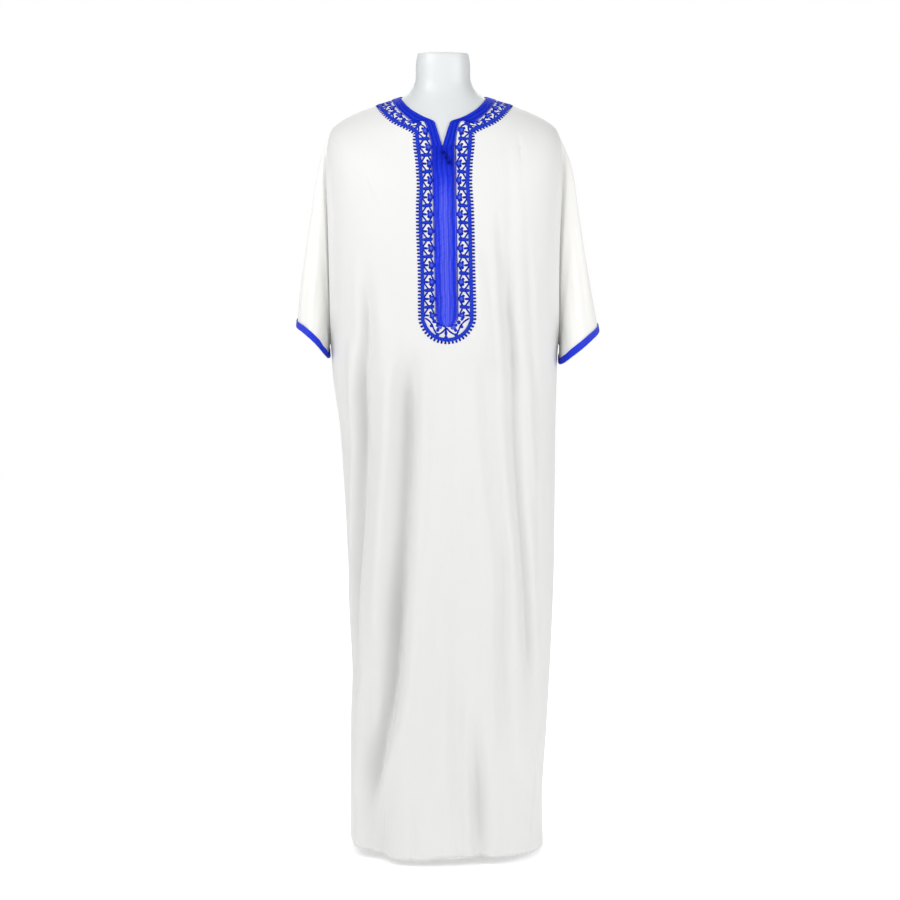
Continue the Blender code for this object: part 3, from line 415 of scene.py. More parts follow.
def robe(angle, drop):
    """The cloth's outer face, folds and all."""
    angle, drop = np.broadcast_arrays(np.asarray(angle, float), np.asarray(drop, float))
    push = fold_push(angle, drop) + roll_push(angle, drop)
    return plain_cloth(angle, drop) + outward(plain_cloth, angle, drop) * push[..., None]


def on_robe(angle, drop, lift):
    """Points of the robe moved out by lift."""
    return robe(angle, drop) + outward(robe, angle, drop) * np.asarray(lift)[..., None]


def below_slit(angle, drop):
    """Presses a drop down past the V slit, and leaves it alone further below."""
    reach = np.abs(np.asarray(angle, float) - SLIT_ANGLE) / SLIT_HALF_ANGLE
    cut = SLIT_DEPTH * np.maximum(1.0 - reach, 0.0) ** SLIT_SHARPNESS
    return drop + cut * np.maximum(1.0 - drop / SLIT_BLEND_DROP, 0.0)


# ================================================================ meshes from grids


def finish_piece(made, material, slot, *nodes):
    """Gives a piece its material, its body and the solids it stands for; slot is not used."""
    made.data.materials.append(material)
    bpy.context.scene.collection.objects.link(made)
    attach(made, "root")
    if nodes:
        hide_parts(*nodes)
    return made


def grid_object(name, points, uv, closed=False, **shades):
    """A sheet through points[row, column], row 0 at its top, with its own UV map in metres.

    shades are values from 0 to 1 at the same points, kept on the mesh for its material to read.
    """
    rows, columns = points.shape[:2]
    bm = bmesh.new()
    bmesh.ops.create_grid(bm, x_segments=columns - 1, y_segments=rows - 1, size=1.0)
    uv_layer = bm.loops.layers.uv.new("UVMap")
    layers = {key: bm.verts.layers.float.new(key) for key in shades}
    for vert in bm.verts:
        column = round((vert.co.x + 1.0) / 2.0 * (columns - 1))
        row = round((1.0 - vert.co.y) / 2.0 * (rows - 1))
        vert.co = points[row, column]
        for key, values in shades.items():
            vert[layers[key]] = values[row, column]
        place = uv[row, column]
        for loop in vert.link_loops:
            loop[uv_layer].uv = place
    if closed:
        bmesh.ops.remove_doubles(bm, verts=bm.verts, dist=1e-6)
    return object_from(name, bm)


def object_from(name, bm):
    mesh = bpy.data.meshes.new(name)
    bm.to_mesh(mesh)
    bm.free()
    mesh.shade_smooth()
    return bpy.data.objects.new(name, mesh)


def face_outwards(bm):
    """Turns the faces of every closed part outwards, once its points are in place."""
    bm.normal_update()
    bmesh.ops.recalc_face_normals(bm, faces=bm.faces)


def add_wall(made, thickness):
    """Thickens a sheet inwards, from its outer face."""
    wall = made.modifiers.new("wall", "SOLIDIFY")
    wall.thickness = thickness
    wall.offset = -1.0
    wall.use_even_offset = False


# ================================================================ materials


def feed(tree, socket, value):
    """Links a socket to another node's output, or sets it to a plain value."""
    if isinstance(value, bpy.types.NodeSocket):
        tree.links.new(value, socket)
    else:
        socket.default_value = value


def new_node(tree, kind, inputs=(), **settings):
    node = tree.nodes.new(kind)
    for name, value in settings.items():
        setattr(node, name, value)
    for name, value in dict(inputs).items():
        feed(tree, node.inputs[name], value)
    return node


def maths(tree, operation, *values):
    node = new_node(tree, "ShaderNodeMath", operation=operation)
    for socket, value in zip(node.inputs, values):
        feed(tree, socket, value)
    return node.outputs[0]


def clamped(tree, value):
    return maths(tree, "MINIMUM", maths(tree, "MAXIMUM", value, 0.0), 1.0)


def mix_colour(tree, share, first, second):
    node = new_node(tree, "ShaderNodeMix", data_type="RGBA")
    for number, value in ((0, share), (6, first), (7, second)):
        feed(tree, node.inputs[number], value)
    return node.outputs[2]


def noise(tree, place, scale, detail=2.0):
    inputs = {"Vector": place, "Scale": scale, "Detail": detail}
    return new_node(tree, "ShaderNodeTexNoise", inputs).outputs[0]


def scaled(tree, place, scale):
    return new_node(tree, "ShaderNodeMapping", {"Vector": place, "Scale": scale}).outputs[0]


def object_place(tree):
    return new_node(tree, "ShaderNodeTexCoord").outputs["Object"]


def uv_place(tree):
    return new_node(tree, "ShaderNodeUVMap", uv_map="UVMap").outputs[0]


def kept_shade(tree, name):
    """A value that grid_object or make_strokes kept on the mesh."""
    return new_node(tree, "ShaderNodeAttribute", attribute_name=name).outputs["Fac"]


def new_group(name, inputs, outputs):
    """A shader node group with float or vector sockets, and its input and output nodes."""
    tree = bpy.data.node_groups.new(name, "ShaderNodeTree")
    for socket_name, kind, value in inputs:
        socket = tree.interface.new_socket(socket_name, in_out="INPUT", socket_type=kind)
        if value is not None:
            socket.default_value = value
    for socket_name in outputs:
        tree.interface.new_socket(socket_name, in_out="OUTPUT", socket_type="NodeSocketFloat")
    return tree, tree.nodes.new("NodeGroupInput"), tree.nodes.new("NodeGroupOutput")


def thread_waves(tree, coordinate, pitch):
    """0 to 1 waves, one for each pitch of metres along a coordinate."""
    phase = maths(tree, "DIVIDE", maths(tree, "MULTIPLY", coordinate, 2.0 * math.pi), pitch)
    return maths(tree, "MULTIPLY_ADD", maths(tree, "SINE", phase), 0.5, 0.5)


WEAVE_PITCH = 0.0007
WEAVE_STREAKS = (260.0, 5.0, 1.0)
WEAVE_SLUBS = (900.0, 60.0, 1.0)


def weave_group():
    """A plain weave: over-and-under threads, with slubs and faint streaks down the cloth."""
    tree, into, out = new_group(
        "plain_weave",
        [("Vector", "NodeSocketVector", None), ("Pitch", "NodeSocketFloat", 0.0006)],
        ["Height", "Streaks"],
    )
    place = into.outputs["Vector"]
    parts = new_node(tree, "ShaderNodeSeparateXYZ", {"Vector": place})
    pitch = maths(tree, "MULTIPLY", into.outputs["Pitch"], 2.0)
    warp = maths(tree, "SUBTRACT", thread_waves(tree, parts.outputs["X"], pitch), 0.5)
    weft = maths(tree, "SUBTRACT", thread_waves(tree, parts.outputs["Y"], pitch), 0.5)
    slubs = noise(tree, scaled(tree, place, WEAVE_SLUBS), 1.0)
    height = maths(tree, "ADD", maths(tree, "MULTIPLY", warp, weft), maths(tree, "MULTIPLY", slubs, 0.5))
    tree.links.new(height, out.inputs["Height"])
    streaks = noise(tree, scaled(tree, place, WEAVE_STREAKS), 1.0, 3.0)
    tree.links.new(streaks, out.inputs["Streaks"])
    return tree


def stitch_group():
    """Threads side by side: ridges across the U direction, leaning by Slant, of uneven shade."""
    tree, into, out = new_group(
        "laid_threads",
        [
            ("Vector", "NodeSocketVector", None),
            ("Pitch", "NodeSocketFloat", 0.0005),
            ("Slant", "NodeSocketFloat", 0.0),
        ],
        ["Height", "Shade"],
    )
    parts = new_node(tree, "ShaderNodeSeparateXYZ", {"Vector": into.outputs["Vector"]})
    slanted = maths(tree, "MULTIPLY", parts.outputs["Y"], into.outputs["Slant"])
    along = maths(tree, "ADD", parts.outputs["X"], slanted)
    ridges = thread_waves(tree, along, into.outputs["Pitch"])
    cells = new_node(tree, "ShaderNodeCombineXYZ")
    tree.links.new(maths(tree, "DIVIDE", along, into.outputs["Pitch"]), cells.inputs["X"])
    tree.links.new(maths(tree, "MULTIPLY", parts.outputs["Y"], 60.0), cells.inputs["Y"])
    tree.links.new(ridges, out.inputs["Height"])
    tree.links.new(noise(tree, cells.outputs[0], 0.6), out.inputs["Shade"])
    return tree


WEAVE = weave_group()
STITCHES = stitch_group()


def new_material(name, sockets):
    """A material whose Principled BSDF has these values on its own sockets."""
    made = bpy.data.materials.new(name)
    made.use_nodes = True
    tree = made.node_tree
    shader = tree.nodes["Principled BSDF"]
    for socket, value in sockets.items():
        shader.inputs[socket].default_value = value
    return made, tree, shader


def ramp(tree, value, low, high):
    """Maps a 0 to 1 value to low to high."""
    inputs = {"Value": value, "To Min": low, "To Max": high}
    return new_node(tree, "ShaderNodeMapRange", inputs).outputs[0]


def bump(tree, shader, height, distance, strength=1.0):
    node = new_node(tree, "ShaderNodeBump", {"Height": height, "Distance": distance, "Strength": strength})
    tree.links.new(node.outputs[0], shader.inputs["Normal"])


def white_cloth(name, colour, shaded):
    """Light plain-woven cloth with a soft lustre."""
    made, tree, shader = new_material(
        name, {"Roughness": 0.62, "Sheen Weight": 0.25, "Sheen Roughness": 0.4, "Specular IOR Level": 0.35}
    )
    threads = {"Vector": uv_place(tree), "Pitch": WEAVE_PITCH}
    weave = new_node(tree, "ShaderNodeGroup", threads, node_tree=WEAVE)
    streaks = weave.outputs["Streaks"]
    clouds = noise(tree, object_place(tree), 7.0)
    both = maths(tree, "MULTIPLY", ramp(tree, streaks, 0.2, 0.8), clouds)
    tree.links.new(mix_colour(tree, both, colour, shaded), shader.inputs["Base Color"])
    tree.links.new(ramp(tree, streaks, 0.55, 0.70), shader.inputs["Roughness"])
    bump(tree, shader, weave.outputs["Height"], 0.00012, 0.6)
    return made


def blue_thread(name, dark, middle, bright, pitch, slant, depth, roughness, grooved):
    """Thread laid side by side. The mesh's "light" shades it, and "crown" is low in its grooves, where
    painted shade lies, as it does in the gaps between threads.
    """
    made, tree, shader = new_material(name, {"Roughness": roughness, "Specular IOR Level": 0.06})
    laid = {"Vector": uv_place(tree), "Pitch": pitch, "Slant": slant}
    threads = new_node(tree, "ShaderNodeGroup", laid, node_tree=STITCHES)
    height, shade = threads.outputs["Height"], threads.outputs["Shade"]
    uneven = maths(tree, "ADD", kept_shade(tree, "light"), ramp(tree, shade, -0.30, 0.30))
    low = clamped(tree, maths(tree, "MULTIPLY", uneven, 2.0))
    high = clamped(tree, maths(tree, "MULTIPLY_ADD", uneven, 2.0, -1.0))
    body = mix_colour(tree, high, mix_colour(tree, low, dark, middle), bright)
    # Painted shade in the gaps between threads, and in the grooves between ribs.
    thread_gap_shade = maths(tree, "POWER", maths(tree, "SUBTRACT", 1.0, height), 3.0)
    thread_gap_shade = maths(tree, "MULTIPLY", thread_gap_shade, 0.35)
    if grooved:
        groove_shade = maths(tree, "SUBTRACT", 1.0, kept_shade(tree, "crown"))
        groove_shade = maths(tree, "MULTIPLY", maths(tree, "POWER", groove_shade, 1.3), 0.6)
        thread_gap_shade = maths(tree, "MAXIMUM", thread_gap_shade, groove_shade)
    tree.links.new(mix_colour(tree, thread_gap_shade, body, dark), shader.inputs["Base Color"])
    shine = ramp(tree, shade, roughness - 0.06, roughness + 0.10)
    tree.links.new(shine, shader.inputs["Roughness"])
    bump(tree, shader, height, depth, 0.8)
    return made


BODY_WHITES = ((0.712, 0.713, 0.704, 1.0), (0.672, 0.673, 0.660, 1.0))
# The sleeves are the body's cloth, painted lighter to stand in for the light they catch.
SLEEVE_WHITES_PAINTED_LIGHTER = ((0.825, 0.822, 0.798, 1.0), (0.785, 0.782, 0.756, 1.0))
FORM_WHITES = ((0.615, 0.640, 0.647, 1.0), (0.655, 0.675, 0.682, 1.0))
ENAMEL_WHITES = ((0.78, 0.79, 0.80, 1.0), (0.84, 0.845, 0.85, 1.0))
FLOOR_WHITES = ((0.93, 0.93, 0.93, 1.0), (0.95, 0.95, 0.95, 1.0))
# Each blue is dark, middle and bright. The bright ones also colour painted highlights, the dark ones
# painted shade.
BLUES = ((0.003, 0.012, 0.28, 1.0), (0.014, 0.044, 0.58, 1.0), (0.095, 0.130, 0.80, 1.0))
BRAID_BLUES = ((0.001, 0.008, 0.30, 1.0), (0.010, 0.034, 0.66, 1.0), (0.030, 0.060, 0.80, 1.0))
PLACKET_BLUES = ((0.002, 0.012, 0.42, 1.0), (0.018, 0.042, 0.72, 1.0), (0.105, 0.130, 0.83, 1.0))
NAVIES = ((0.001, 0.006, 0.22, 1.0), (0.003, 0.014, 0.42, 1.0), (0.010, 0.030, 0.58, 1.0))
CLOTH = white_cloth("white_cloth", *BODY_WHITES)
# The same cloth for the sleeves, painted lighter.
SLEEVE_CLOTH_PAINTED_LIGHTER = white_cloth("white_sleeve_cloth_painted_lighter", *SLEEVE_WHITES_PAINTED_LIGHTER)
# After the blues: the threads' pitch, slant, relief and roughness, and whether they lie in grooves.
SATIN = blue_thread("satin_stitch", *BLUES, 0.0006, 0.15, 0.00025, 0.55, False)
BAND = blue_thread("band_stitch", *BLUES, 0.0013, 0.8, 0.0003, 0.55, False)
BRAID = blue_thread("braid_cord", *BRAID_BLUES, 0.0009, 0.6, 0.00022, 0.50, True)
RIBS = blue_thread("placket_cord", *PLACKET_BLUES, 0.0009, 0.6, 0.00022, 0.50, True)
CORD = blue_thread("knot_cord", *NAVIES, 0.0010, 0.5, 0.0003, 0.55, False)


def moulded_gloss():
    """Smooth glossy white shell with a faint moulding ripple."""
    made, tree, shader = new_material(
        "moulded_gloss",
        {"Roughness": 0.38, "Coat Weight": 0.12, "Coat Roughness": 0.30, "Specular IOR Level": 0.4},
    )
    ripple = noise(tree, object_place(tree), 14.0)
    tree.links.new(mix_colour(tree, ripple, *FORM_WHITES), shader.inputs["Base Color"])
    tree.links.new(ramp(tree, ripple, 0.34, 0.44), shader.inputs["Roughness"])
    bump(tree, shader, ripple, 0.0012, 0.25)
    return made


def enamelled_steel():
    """White enamel on steel, with fine orange peel and a little wear in its gloss."""
    made, tree, shader = new_material("enamelled_steel", {"Roughness": 0.35, "Coat Weight": 0.3})
    wear = noise(tree, object_place(tree), 18.0, 4.0)
    tree.links.new(mix_colour(tree, wear, *ENAMEL_WHITES), shader.inputs["Base Color"])
    tree.links.new(ramp(tree, wear, 0.25, 0.45), shader.inputs["Roughness"])
    bump(tree, shader, noise(tree, object_place(tree), 420.0, 1.0), 0.0002, 0.3)
    return made


FORM_FINISH = moulded_gloss()
STEEL_FINISH = enamelled_steel()


# ================================================================ front, back and sleeves

# Columns nearer the centre line than STRAIGHT_ANGLE hang straight past the armhole.
STRAIGHT_ANGLE = 48.0
SEAM_GAP = 0.0004
YOKE_ROWS = 28
ARMHOLE_ROWS = 68
SKIRT_ROWS = 112
SIDE_CELLS = 82
SLIT_CELLS = 18
BACK_CELLS = 172


def panel_drops():
    """The rows of a panel: the yoke, the armhole's own turns, and the skirt."""
    yoke = np.linspace(0.0, ARMHOLE_TOP, YOKE_ROWS + 1)[:-1]
    turns = np.linspace(math.pi, 0.0, ARMHOLE_ROWS + 1)
    armhole = ARMHOLE_MIDDLE + (ARMHOLE_FOOT - ARMHOLE_MIDDLE) * np.cos(turns)
    skirt = np.linspace(ARMHOLE_FOOT, HEM_DROP, SKIRT_ROWS + 1)[1:]
    return np.concatenate([yoke, armhole, skirt])


def lengths_along(points, axis):
    """How far each point of a grid lies along its row (axis 1) or column (axis 0), in metres."""
    steps = np.linalg.norm(np.diff(points, axis=axis), axis=-1)
    start = np.zeros_like(steps[:, :1] if axis == 1 else steps[:1])
    return np.concatenate([start, np.cumsum(steps, axis=axis)], axis=axis)


def make_panel(name, lean, centre):
    """The front or back panel. lean holds its columns, in degrees from the centre line."""
    drop = panel_drops()[:, None]
    seam = SIDE_ANGLE - SEAM_GAP / 2.0 / per_degree(SIDE_ANGLE, drop)
    edge = np.minimum(seam, SIDE_ANGLE - armhole_angle(drop))
    outer_share = np.maximum(np.abs(lean) - STRAIGHT_ANGLE, 0.0) / (SIDE_ANGLE - STRAIGHT_ANGLE)
    angle = centre + lean - np.sign(lean) * (SIDE_ANGLE - edge) * outer_share
    drop = np.broadcast_to(drop, angle.shape)
    if centre == 0.0:
        drop = below_slit(angle, drop)
    width = lengths_along(plain_cloth(angle, drop), 1)
    width = width - width[:, [len(lean) // 2]]
    made = grid_object(name, robe(angle, drop), np.stack([width, -drop], axis=-1))
    add_wall(made, WALL)
    return finish_piece(made, CLOTH, "white_cloth", name.replace("_cloth", "_panel"))


def make_front():
    slit_left = SLIT_ANGLE - SLIT_HALF_ANGLE
    slit_right = SLIT_ANGLE + SLIT_HALF_ANGLE
    left = np.linspace(-SIDE_ANGLE, slit_left, SIDE_CELLS + 1)
    slit = np.linspace(slit_left, slit_right, 2 * SLIT_CELLS + 1)[1:]
    right = np.linspace(slit_right, SIDE_ANGLE, SIDE_CELLS + 1)[1:]
    return make_panel("front_cloth", np.concatenate([left, slit, right]), 0.0)


def make_back():
    return make_panel("back_cloth", np.linspace(-SIDE_ANGLE, SIDE_ANGLE, BACK_CELLS + 1), 180.0)


SLEEVE_TURNS = 144
SLEEVE_ROWS = 84
TUCK_REACH = 0.004
TUCK_DEPTH = 0.0022
# The front stands fuller past the seam, and less so towards the cuff.
SLEEVE_FRONT_FLATNESS = 0.64
SLEEVE_FRONT_FULLNESS = 0.006
SLEEVE_FULL_FROM = 0.08
SLEEVE_CUFF_EASE = 0.6
# Soft folds down a sleeve: the turn where each lies at the top and at the cuff, its width in
# degrees, and the reach where it starts and stops.
SleeveFold = namedtuple("SleeveFold", "name turn cuff_turn width depth start stop")
SLEEVE_FOLD_FADE = 0.3
SLEEVE_SEAM_FADE = 0.1
SLEEVE_LIP_SHARE = 0.3
SLEEVE_FOLDS = (
    SleeveFold("front_inner", 46.0, 50.0, 9.0, 0.0012, 0.1, 1.05),
    SleeveFold("front_middle", 88.0, 84.0, 8.0, 0.0012, 0.25, 1.05),
    SleeveFold("front_outer", 128.0, 122.0, 9.0, 0.0014, 0.05, 1.0),
    SleeveFold("top", 171.0, 160.0, 7.0, 0.0012, -0.1, 0.8),
    SleeveFold("back_outer", 226.0, 234.0, 10.0, 0.0028, 0.05, 1.1),
    SleeveFold("back_inner", 300.0, 296.0, 9.0, 0.0026, 0.15, 1.1),
)


def armhole_ring(sleeve, sine, cosine, grow):
    """The (angle, drop) at a turn round the armhole's edge, moved out by grow metres."""
    drop = ARMHOLE_MIDDLE + (ARMHOLE_FOOT - ARMHOLE_MIDDLE + grow) * cosine
    lean = (ARMHOLE_HALF_ANGLE + grow / per_degree(SIDE_ANGLE, ARMHOLE_MIDDLE)) * sine
    return sleeve.side * (SIDE_ANGLE - lean), drop


def plain_sleeve(sleeve, turn, reach):
    """A sleeve's outer face. turn: 0 underarm, 90 front, 180 top, 270 back. reach: 0 to 1."""
    turn, reach = np.broadcast_arrays(np.radians(turn), np.asarray(reach, float))
    sine, cosine = np.sin(turn), np.cos(turn)
    start = robe(*armhole_ring(sleeve, sine, cosine, -SLEEVE_SEAM_GAP))
    inner_share = (1.0 + cosine) / 2.0
    cuff_x = sleeve.outer_x + (sleeve.inner_x - sleeve.outer_x) * inner_share
    front = np.maximum(sine, 0.0) ** SLEEVE_FRONT_FLATNESS
    cuff_y = np.where(sine >= 0.0, -CUFF_FRONT_DEPTH * front, -CUFF_BACK_DEPTH * sine)
    cuff_z = sleeve.outer_z + (sleeve.inner_z - sleeve.outer_z) * inner_share
    cuff_z = cuff_z + sleeve.front_rise * sine**2
    end = np.stack([sleeve.side * cuff_x, cuff_y, cuff_z], axis=-1)
    swells = (0.0, sleeve.swell_top, sleeve.swell_upper, sleeve.swell_lower, sleeve.swell_foot, 0.0)
    swell = smooth(reach, SWELL_REACHES, swells)
    swell = swell * (1.0 - (1.0 - UNDERARM_SWELL) * inner_share)
    pleat = SLEEVE_PLEAT_HEIGHT * np.sin(SLEEVE_PLEATS * turn) * sine**2 * reach
    place = start + (end - start) * reach[..., None]
    place[..., 0] += sleeve.side * swell
    place[..., 1] -= np.sign(sine) * pleat
    fullness = SLEEVE_FRONT_FULLNESS * front * soft_step(reach / SLEEVE_FULL_FROM)
    place[..., 1] -= fullness * (1.0 - SLEEVE_CUFF_EASE * reach)
    return place


def sleeve_outward(sleeve, turn, reach):
    step = 0.004
    down = plain_sleeve(sleeve, turn, reach + step) - plain_sleeve(sleeve, turn, reach - step)
    across = plain_sleeve(sleeve, turn + 1.0, reach) - plain_sleeve(sleeve, turn - 1.0, reach)
    normal = np.cross(down, across * sleeve.side)
    return normal / np.linalg.norm(normal, axis=-1, keepdims=True)


def sleeve_cloth(sleeve, turn, reach, lift=0.0):
    """A sleeve's outer face with its soft folds, moved out by lift."""
    turn, reach = np.broadcast_arrays(np.asarray(turn, float), np.asarray(reach, float))
    push = np.zeros(turn.shape)
    for fold in SLEEVE_FOLDS:
        centre = fold.turn + (fold.cuff_turn - fold.turn) * reach
        share = (turn % 360.0 - centre) / fold.width
        ends = soft_step((reach - fold.start) / SLEEVE_FOLD_FADE)
        ends = ends * soft_step((fold.stop - reach) / SLEEVE_FOLD_FADE)
        lips = np.exp(-((np.abs(share) - LIP_DISTANCE) ** 2))
        push -= fold.depth * ends * (np.exp(-(share**2)) - SLEEVE_LIP_SHARE * lips)
    push = push * soft_step(reach / SLEEVE_SEAM_FADE) + lift
    return plain_sleeve(sleeve, turn, reach) + sleeve_outward(sleeve, turn, reach) * push[..., None]


def tucked_ring(sleeve, turn, reach):
    """The sleeve's seam allowance, turned in under the armhole's edge by reach metres."""
    turn = np.radians(turn)
    ring = armhole_ring(sleeve, np.sin(turn), np.cos(turn), reach - SLEEVE_SEAM_GAP)
    return on_robe(*ring, -TUCK_DEPTH * np.ones(turn.shape))


def sleeve_turns(sleeve, cells):
    """Turns round a sleeve, in the order that faces it outwards."""
    return np.linspace(0.0, 360.0, cells + 1)[:: sleeve.side]


def make_sleeve(sleeve):
    turns = sleeve_turns(sleeve, SLEEVE_TURNS)
    reaches = np.linspace(0.0, 1.0, SLEEVE_ROWS + 1)[:, None]
    tucked = [tucked_ring(sleeve, turns, TUCK_REACH)[None], tucked_ring(sleeve, turns, 0.0)[None]]
    points = np.concatenate(tucked + [sleeve_cloth(sleeve, turns[None, :], reaches)])
    points[:, -1] = points[:, 0]
    uv = np.stack([lengths_along(points, 1), -lengths_along(points, 0)], axis=-1)
    made = grid_object(f"sleeve_cloth_{sleeve.name}", points, uv, closed=True)
    add_wall(made, WALL)
    return finish_piece(made, SLEEVE_CLOTH_PAINTED_LIGHTER, "white_cloth", f"sleeve_{sleeve.name}")


# ================================================================ braid and strips

Lane = namedtuple("Lane", "inner outer stops fine length")
LANE_STEPS = 40


def make_lane(inner, outer):
    """A lane on the robe between two routes of (angle, drop) stops, measured along its middle."""
    inner, outer = np.array(inner, float), np.array(outer, float)
    stops = np.linspace(0.0, 1.0, len(inner))
    fine = np.linspace(0.0, 1.0, LANE_STEPS * len(inner))
    middle = [smooth(fine, stops, (inner + outer)[:, i] / 2.0) for i in (0, 1)]
    steps = np.linalg.norm(np.diff(plain_cloth(*middle), axis=0), axis=1)
    return Lane(inner, outer, stops, fine, np.concatenate([[0.0], np.cumsum(steps)]))


def on_lane(lane, along, across, lift):
    """Points at metres along a lane, a share across it (0 its inner edge) and a lift off the cloth."""
    along, across, lift = np.broadcast_arrays(along, across, lift)
    share = np.interp(along, lane.length, lane.fine)
    angle, drop = [
        smooth(share, lane.stops, lane.inner[:, i]) * (1.0 - across)
        + smooth(share, lane.stops, lane.outer[:, i]) * across
        for i in (0, 1)
    ]
    before_start = np.maximum(-along, 0.0) / per_degree(angle, drop)
    angle = angle + before_start * np.sign(lane.outer[0, 0])
    past_end = np.maximum(along - lane.length[-1], 0.0)
    return on_robe(angle, np.maximum(drop + past_end, 0.0), lift)


def on_front(places):
    """The (angle, drop) of each (x, height) seen from the front."""
    return list(zip(*locate(*np.array(places).T)))


def along_at(lane, height, across=0.5):
    """How far along a lane its middle comes down to a height."""
    places = on_lane(lane, lane.length, across, 0.0)
    return float(np.interp(-height, -places[:, 2], lane.length))


# Shares run across the lane. light is 0 to 1, and uneven is how much it varies: in bands every
# twist metres along, or from rib to rib where twist is 0.
Strip = namedtuple(
    "Strip", "name start_share stop_share ribs rows thickness rib_height light uneven twist"
)
BAND_STRIP = Strip("bib_band_stitches", -0.2, 0.74, 1, 640, 0.0008, 0.0003, 0.45, 0.22, 0.0052)
NECK_STRIP = Strip("neck_cords", 0.0, 0.915, 5, 260, 0.0012, 0.0006, 0.42, 0.26, 0.0)
NECK_EDGE_STRIP = Strip("neck_edge_cord", 0.945, 1.0, 1, 320, 0.0008, 0.0004, 0.2, 0.1, 0.004)
PLACKET_STRIP = Strip("placket_ribs", 0.01, 0.945, 9, 200, 0.0014, 0.0004, 0.4, 0.16, 0.0)
PLACKET_EDGE_STRIPS = (
    Strip("placket_edge_cord_left", -0.035, -0.006, 1, 200, 0.001, 0.0004, 0.35, 0.1, 0.004),
    Strip("placket_edge_cord_right", 0.972, 1.018, 1, 200, 0.001, 0.0004, 0.35, 0.1, 0.004),
)
# A painted highlight down the placket's middle, fading in from its top end.
PLACKET_PAINTED_HIGHLIGHT = 0.55
PLACKET_TOP_DARKER = 0.28
RIB_CELLS = 6
STRIP_TOP_FADE = 0.12
# How the shade of a rib wanders along it: size, turns for each metre (in radians) and start.
RIB_WANDERS = ((0.6, 61.0, 0.0), (0.4, 143.0, 2.0))


def make_strip(strip, lane, material, *nodes, middle_painted_highlight=0.0, top_darker=0.0):
    """A ribbed strip laid along a lane, whose middle may carry a painted highlight and its top end be
    darker.
    """
    along = np.linspace(0.0, lane.length[-1], strip.rows + 1)[:, None]
    share = np.linspace(0.0, 1.0, strip.ribs * RIB_CELLS + 1)[None, :]
    across = strip.start_share + (strip.stop_share - strip.start_share) * share
    crown = np.abs(np.sin(math.pi * share * strip.ribs)) + 0.0 * along
    points = on_lane(lane, along, across, TRIM_GAP + strip.thickness + strip.rib_height * crown)
    uv = np.stack([along + 0.0 * share, lengths_along(points, 1)], axis=-1)
    lit = soft_step(along / STRIP_TOP_FADE)
    # The painted highlight down the middle fades in below the top, where the strip is darker.
    light = strip.light - top_darker * (1.0 - lit) + middle_painted_highlight * lit * np.sin(math.pi * share) ** 2
    if strip.twist:
        wave = np.sin(2.0 * math.pi * (along / strip.twist + share))
    else:
        wander = sum(size * np.sin(along * pace + start) for size, pace, start in RIB_WANDERS)
        wave = np.sin(math.pi * (strip.ribs * share - 0.5) + wander)
    light = light + strip.uneven * wave
    made = grid_object(strip.name, points, uv, crown=crown, light=light)
    add_wall(made, strip.thickness)
    return finish_piece(made, material, "blue_braid", *nodes)


def all_round(right_stops, left_stops):
    """One route from stops on the left, past the back, to those on the right (back stops first)."""
    right = [(angle - 360.0, drop) for angle, drop in right_stops]
    return left_stops[::-1] + right[1:]


def collar_route(width, right_front, left_front):
    """A route at one distance inside the collar's outer edge, joined to stops on the front."""
    right = [(angle, drop - width) for angle, drop in COLLAR_STOPS]
    left = [(-angle, drop) for angle, drop in right]
    return all_round(right + right_front, left + left_front)


def between_rows(top, foot, share):
    """(height, centre, half width) at a share of the way down between two rows."""
    return [a + (b - a) * share for a, b in zip(top, foot)]


def bib_stops(side, inset):
    """(x, height) stops down one side of the bib and round to the middle of its foot."""
    stops = [(row.centre + side * (row.half_width - inset), row.height) for row in BIB_ROWS]
    reach = BIB_FOOT.half_width - inset
    for turn in np.radians(BIB_FOOT_TURNS):
        x = BIB_FOOT.centre + side * reach * math.cos(turn)
        stops.append((x, BIB_FOOT.height - reach * math.sin(turn)))
    return stops


def bib_corner(side, inset_in, rise):
    """(x, height) of the corner where the bib's side turns into the collar."""
    reach = BIB_TOP.half_width + BIB_CORNER_OUT - inset_in
    return BIB_TOP.centre + side * reach, BIB_TOP.height + rise


def band_lane():
    routes = []
    for width, corner_in, corner_rise in (
        (BIB_BAND_WIDTH, BIB_CORNER_INNER_IN, BIB_CORNER_RISE + BIB_CORNER_INNER_RISE),
        (0.0, 0.0, BIB_CORNER_RISE),
    ):
        sides = [
            on_front([bib_corner(side, corner_in, corner_rise)] + bib_stops(side, width))
            for side in (1, -1)
        ]
        routes.append(collar_route(width, *sides))
    return make_lane(*routes)


def neck_lane():
    routes = []
    for width, part in ((NECK_BRAID_INSET, "edge"), (NECK_BRAID_WIDTH, "braid")):
        sides = []
        for side, word in ((1, "right"), (-1, "left")):
            slit = [(getattr(stop, f"{word}_{part}"), stop.height) for stop in SLIT_STOPS]
            sides.append([(side * angle, width) for angle in NECK_BRAID_ANGLES] + on_front(slit))
        routes.append(all_round(*sides))
    return make_lane(*routes)


def placket_lane():
    sides = []
    for side in (-1, 1):
        stops = []
        for share in PLACKET_SHARES:
            height, centre, half = between_rows(PLACKET_TOP, PLACKET_FOOT, share)
            stops.append((centre + side * half, height))
        for turn in np.radians(PLACKET_FOOT_TURNS):
            narrowing = PLACKET_FOOT_NARROWING * (1.0 - math.cos(turn))
            x = PLACKET_FOOT.centre + side * (PLACKET_FOOT.half_width - narrowing)
            stops.append((x, PLACKET_FOOT.height - PLACKET_FOOT_FALL * math.sin(turn)))
        sides.append(on_front(stops))
    return make_lane(*sides)


CUFF_CELLS = 192
CUFF_RIBS = 4
CUFF_RIB_CELLS = 5
CUFF_THICKNESS = 0.0012
CUFF_RIB_HEIGHT = 0.0004
CUFF_RIB_FULLNESS = 0.7
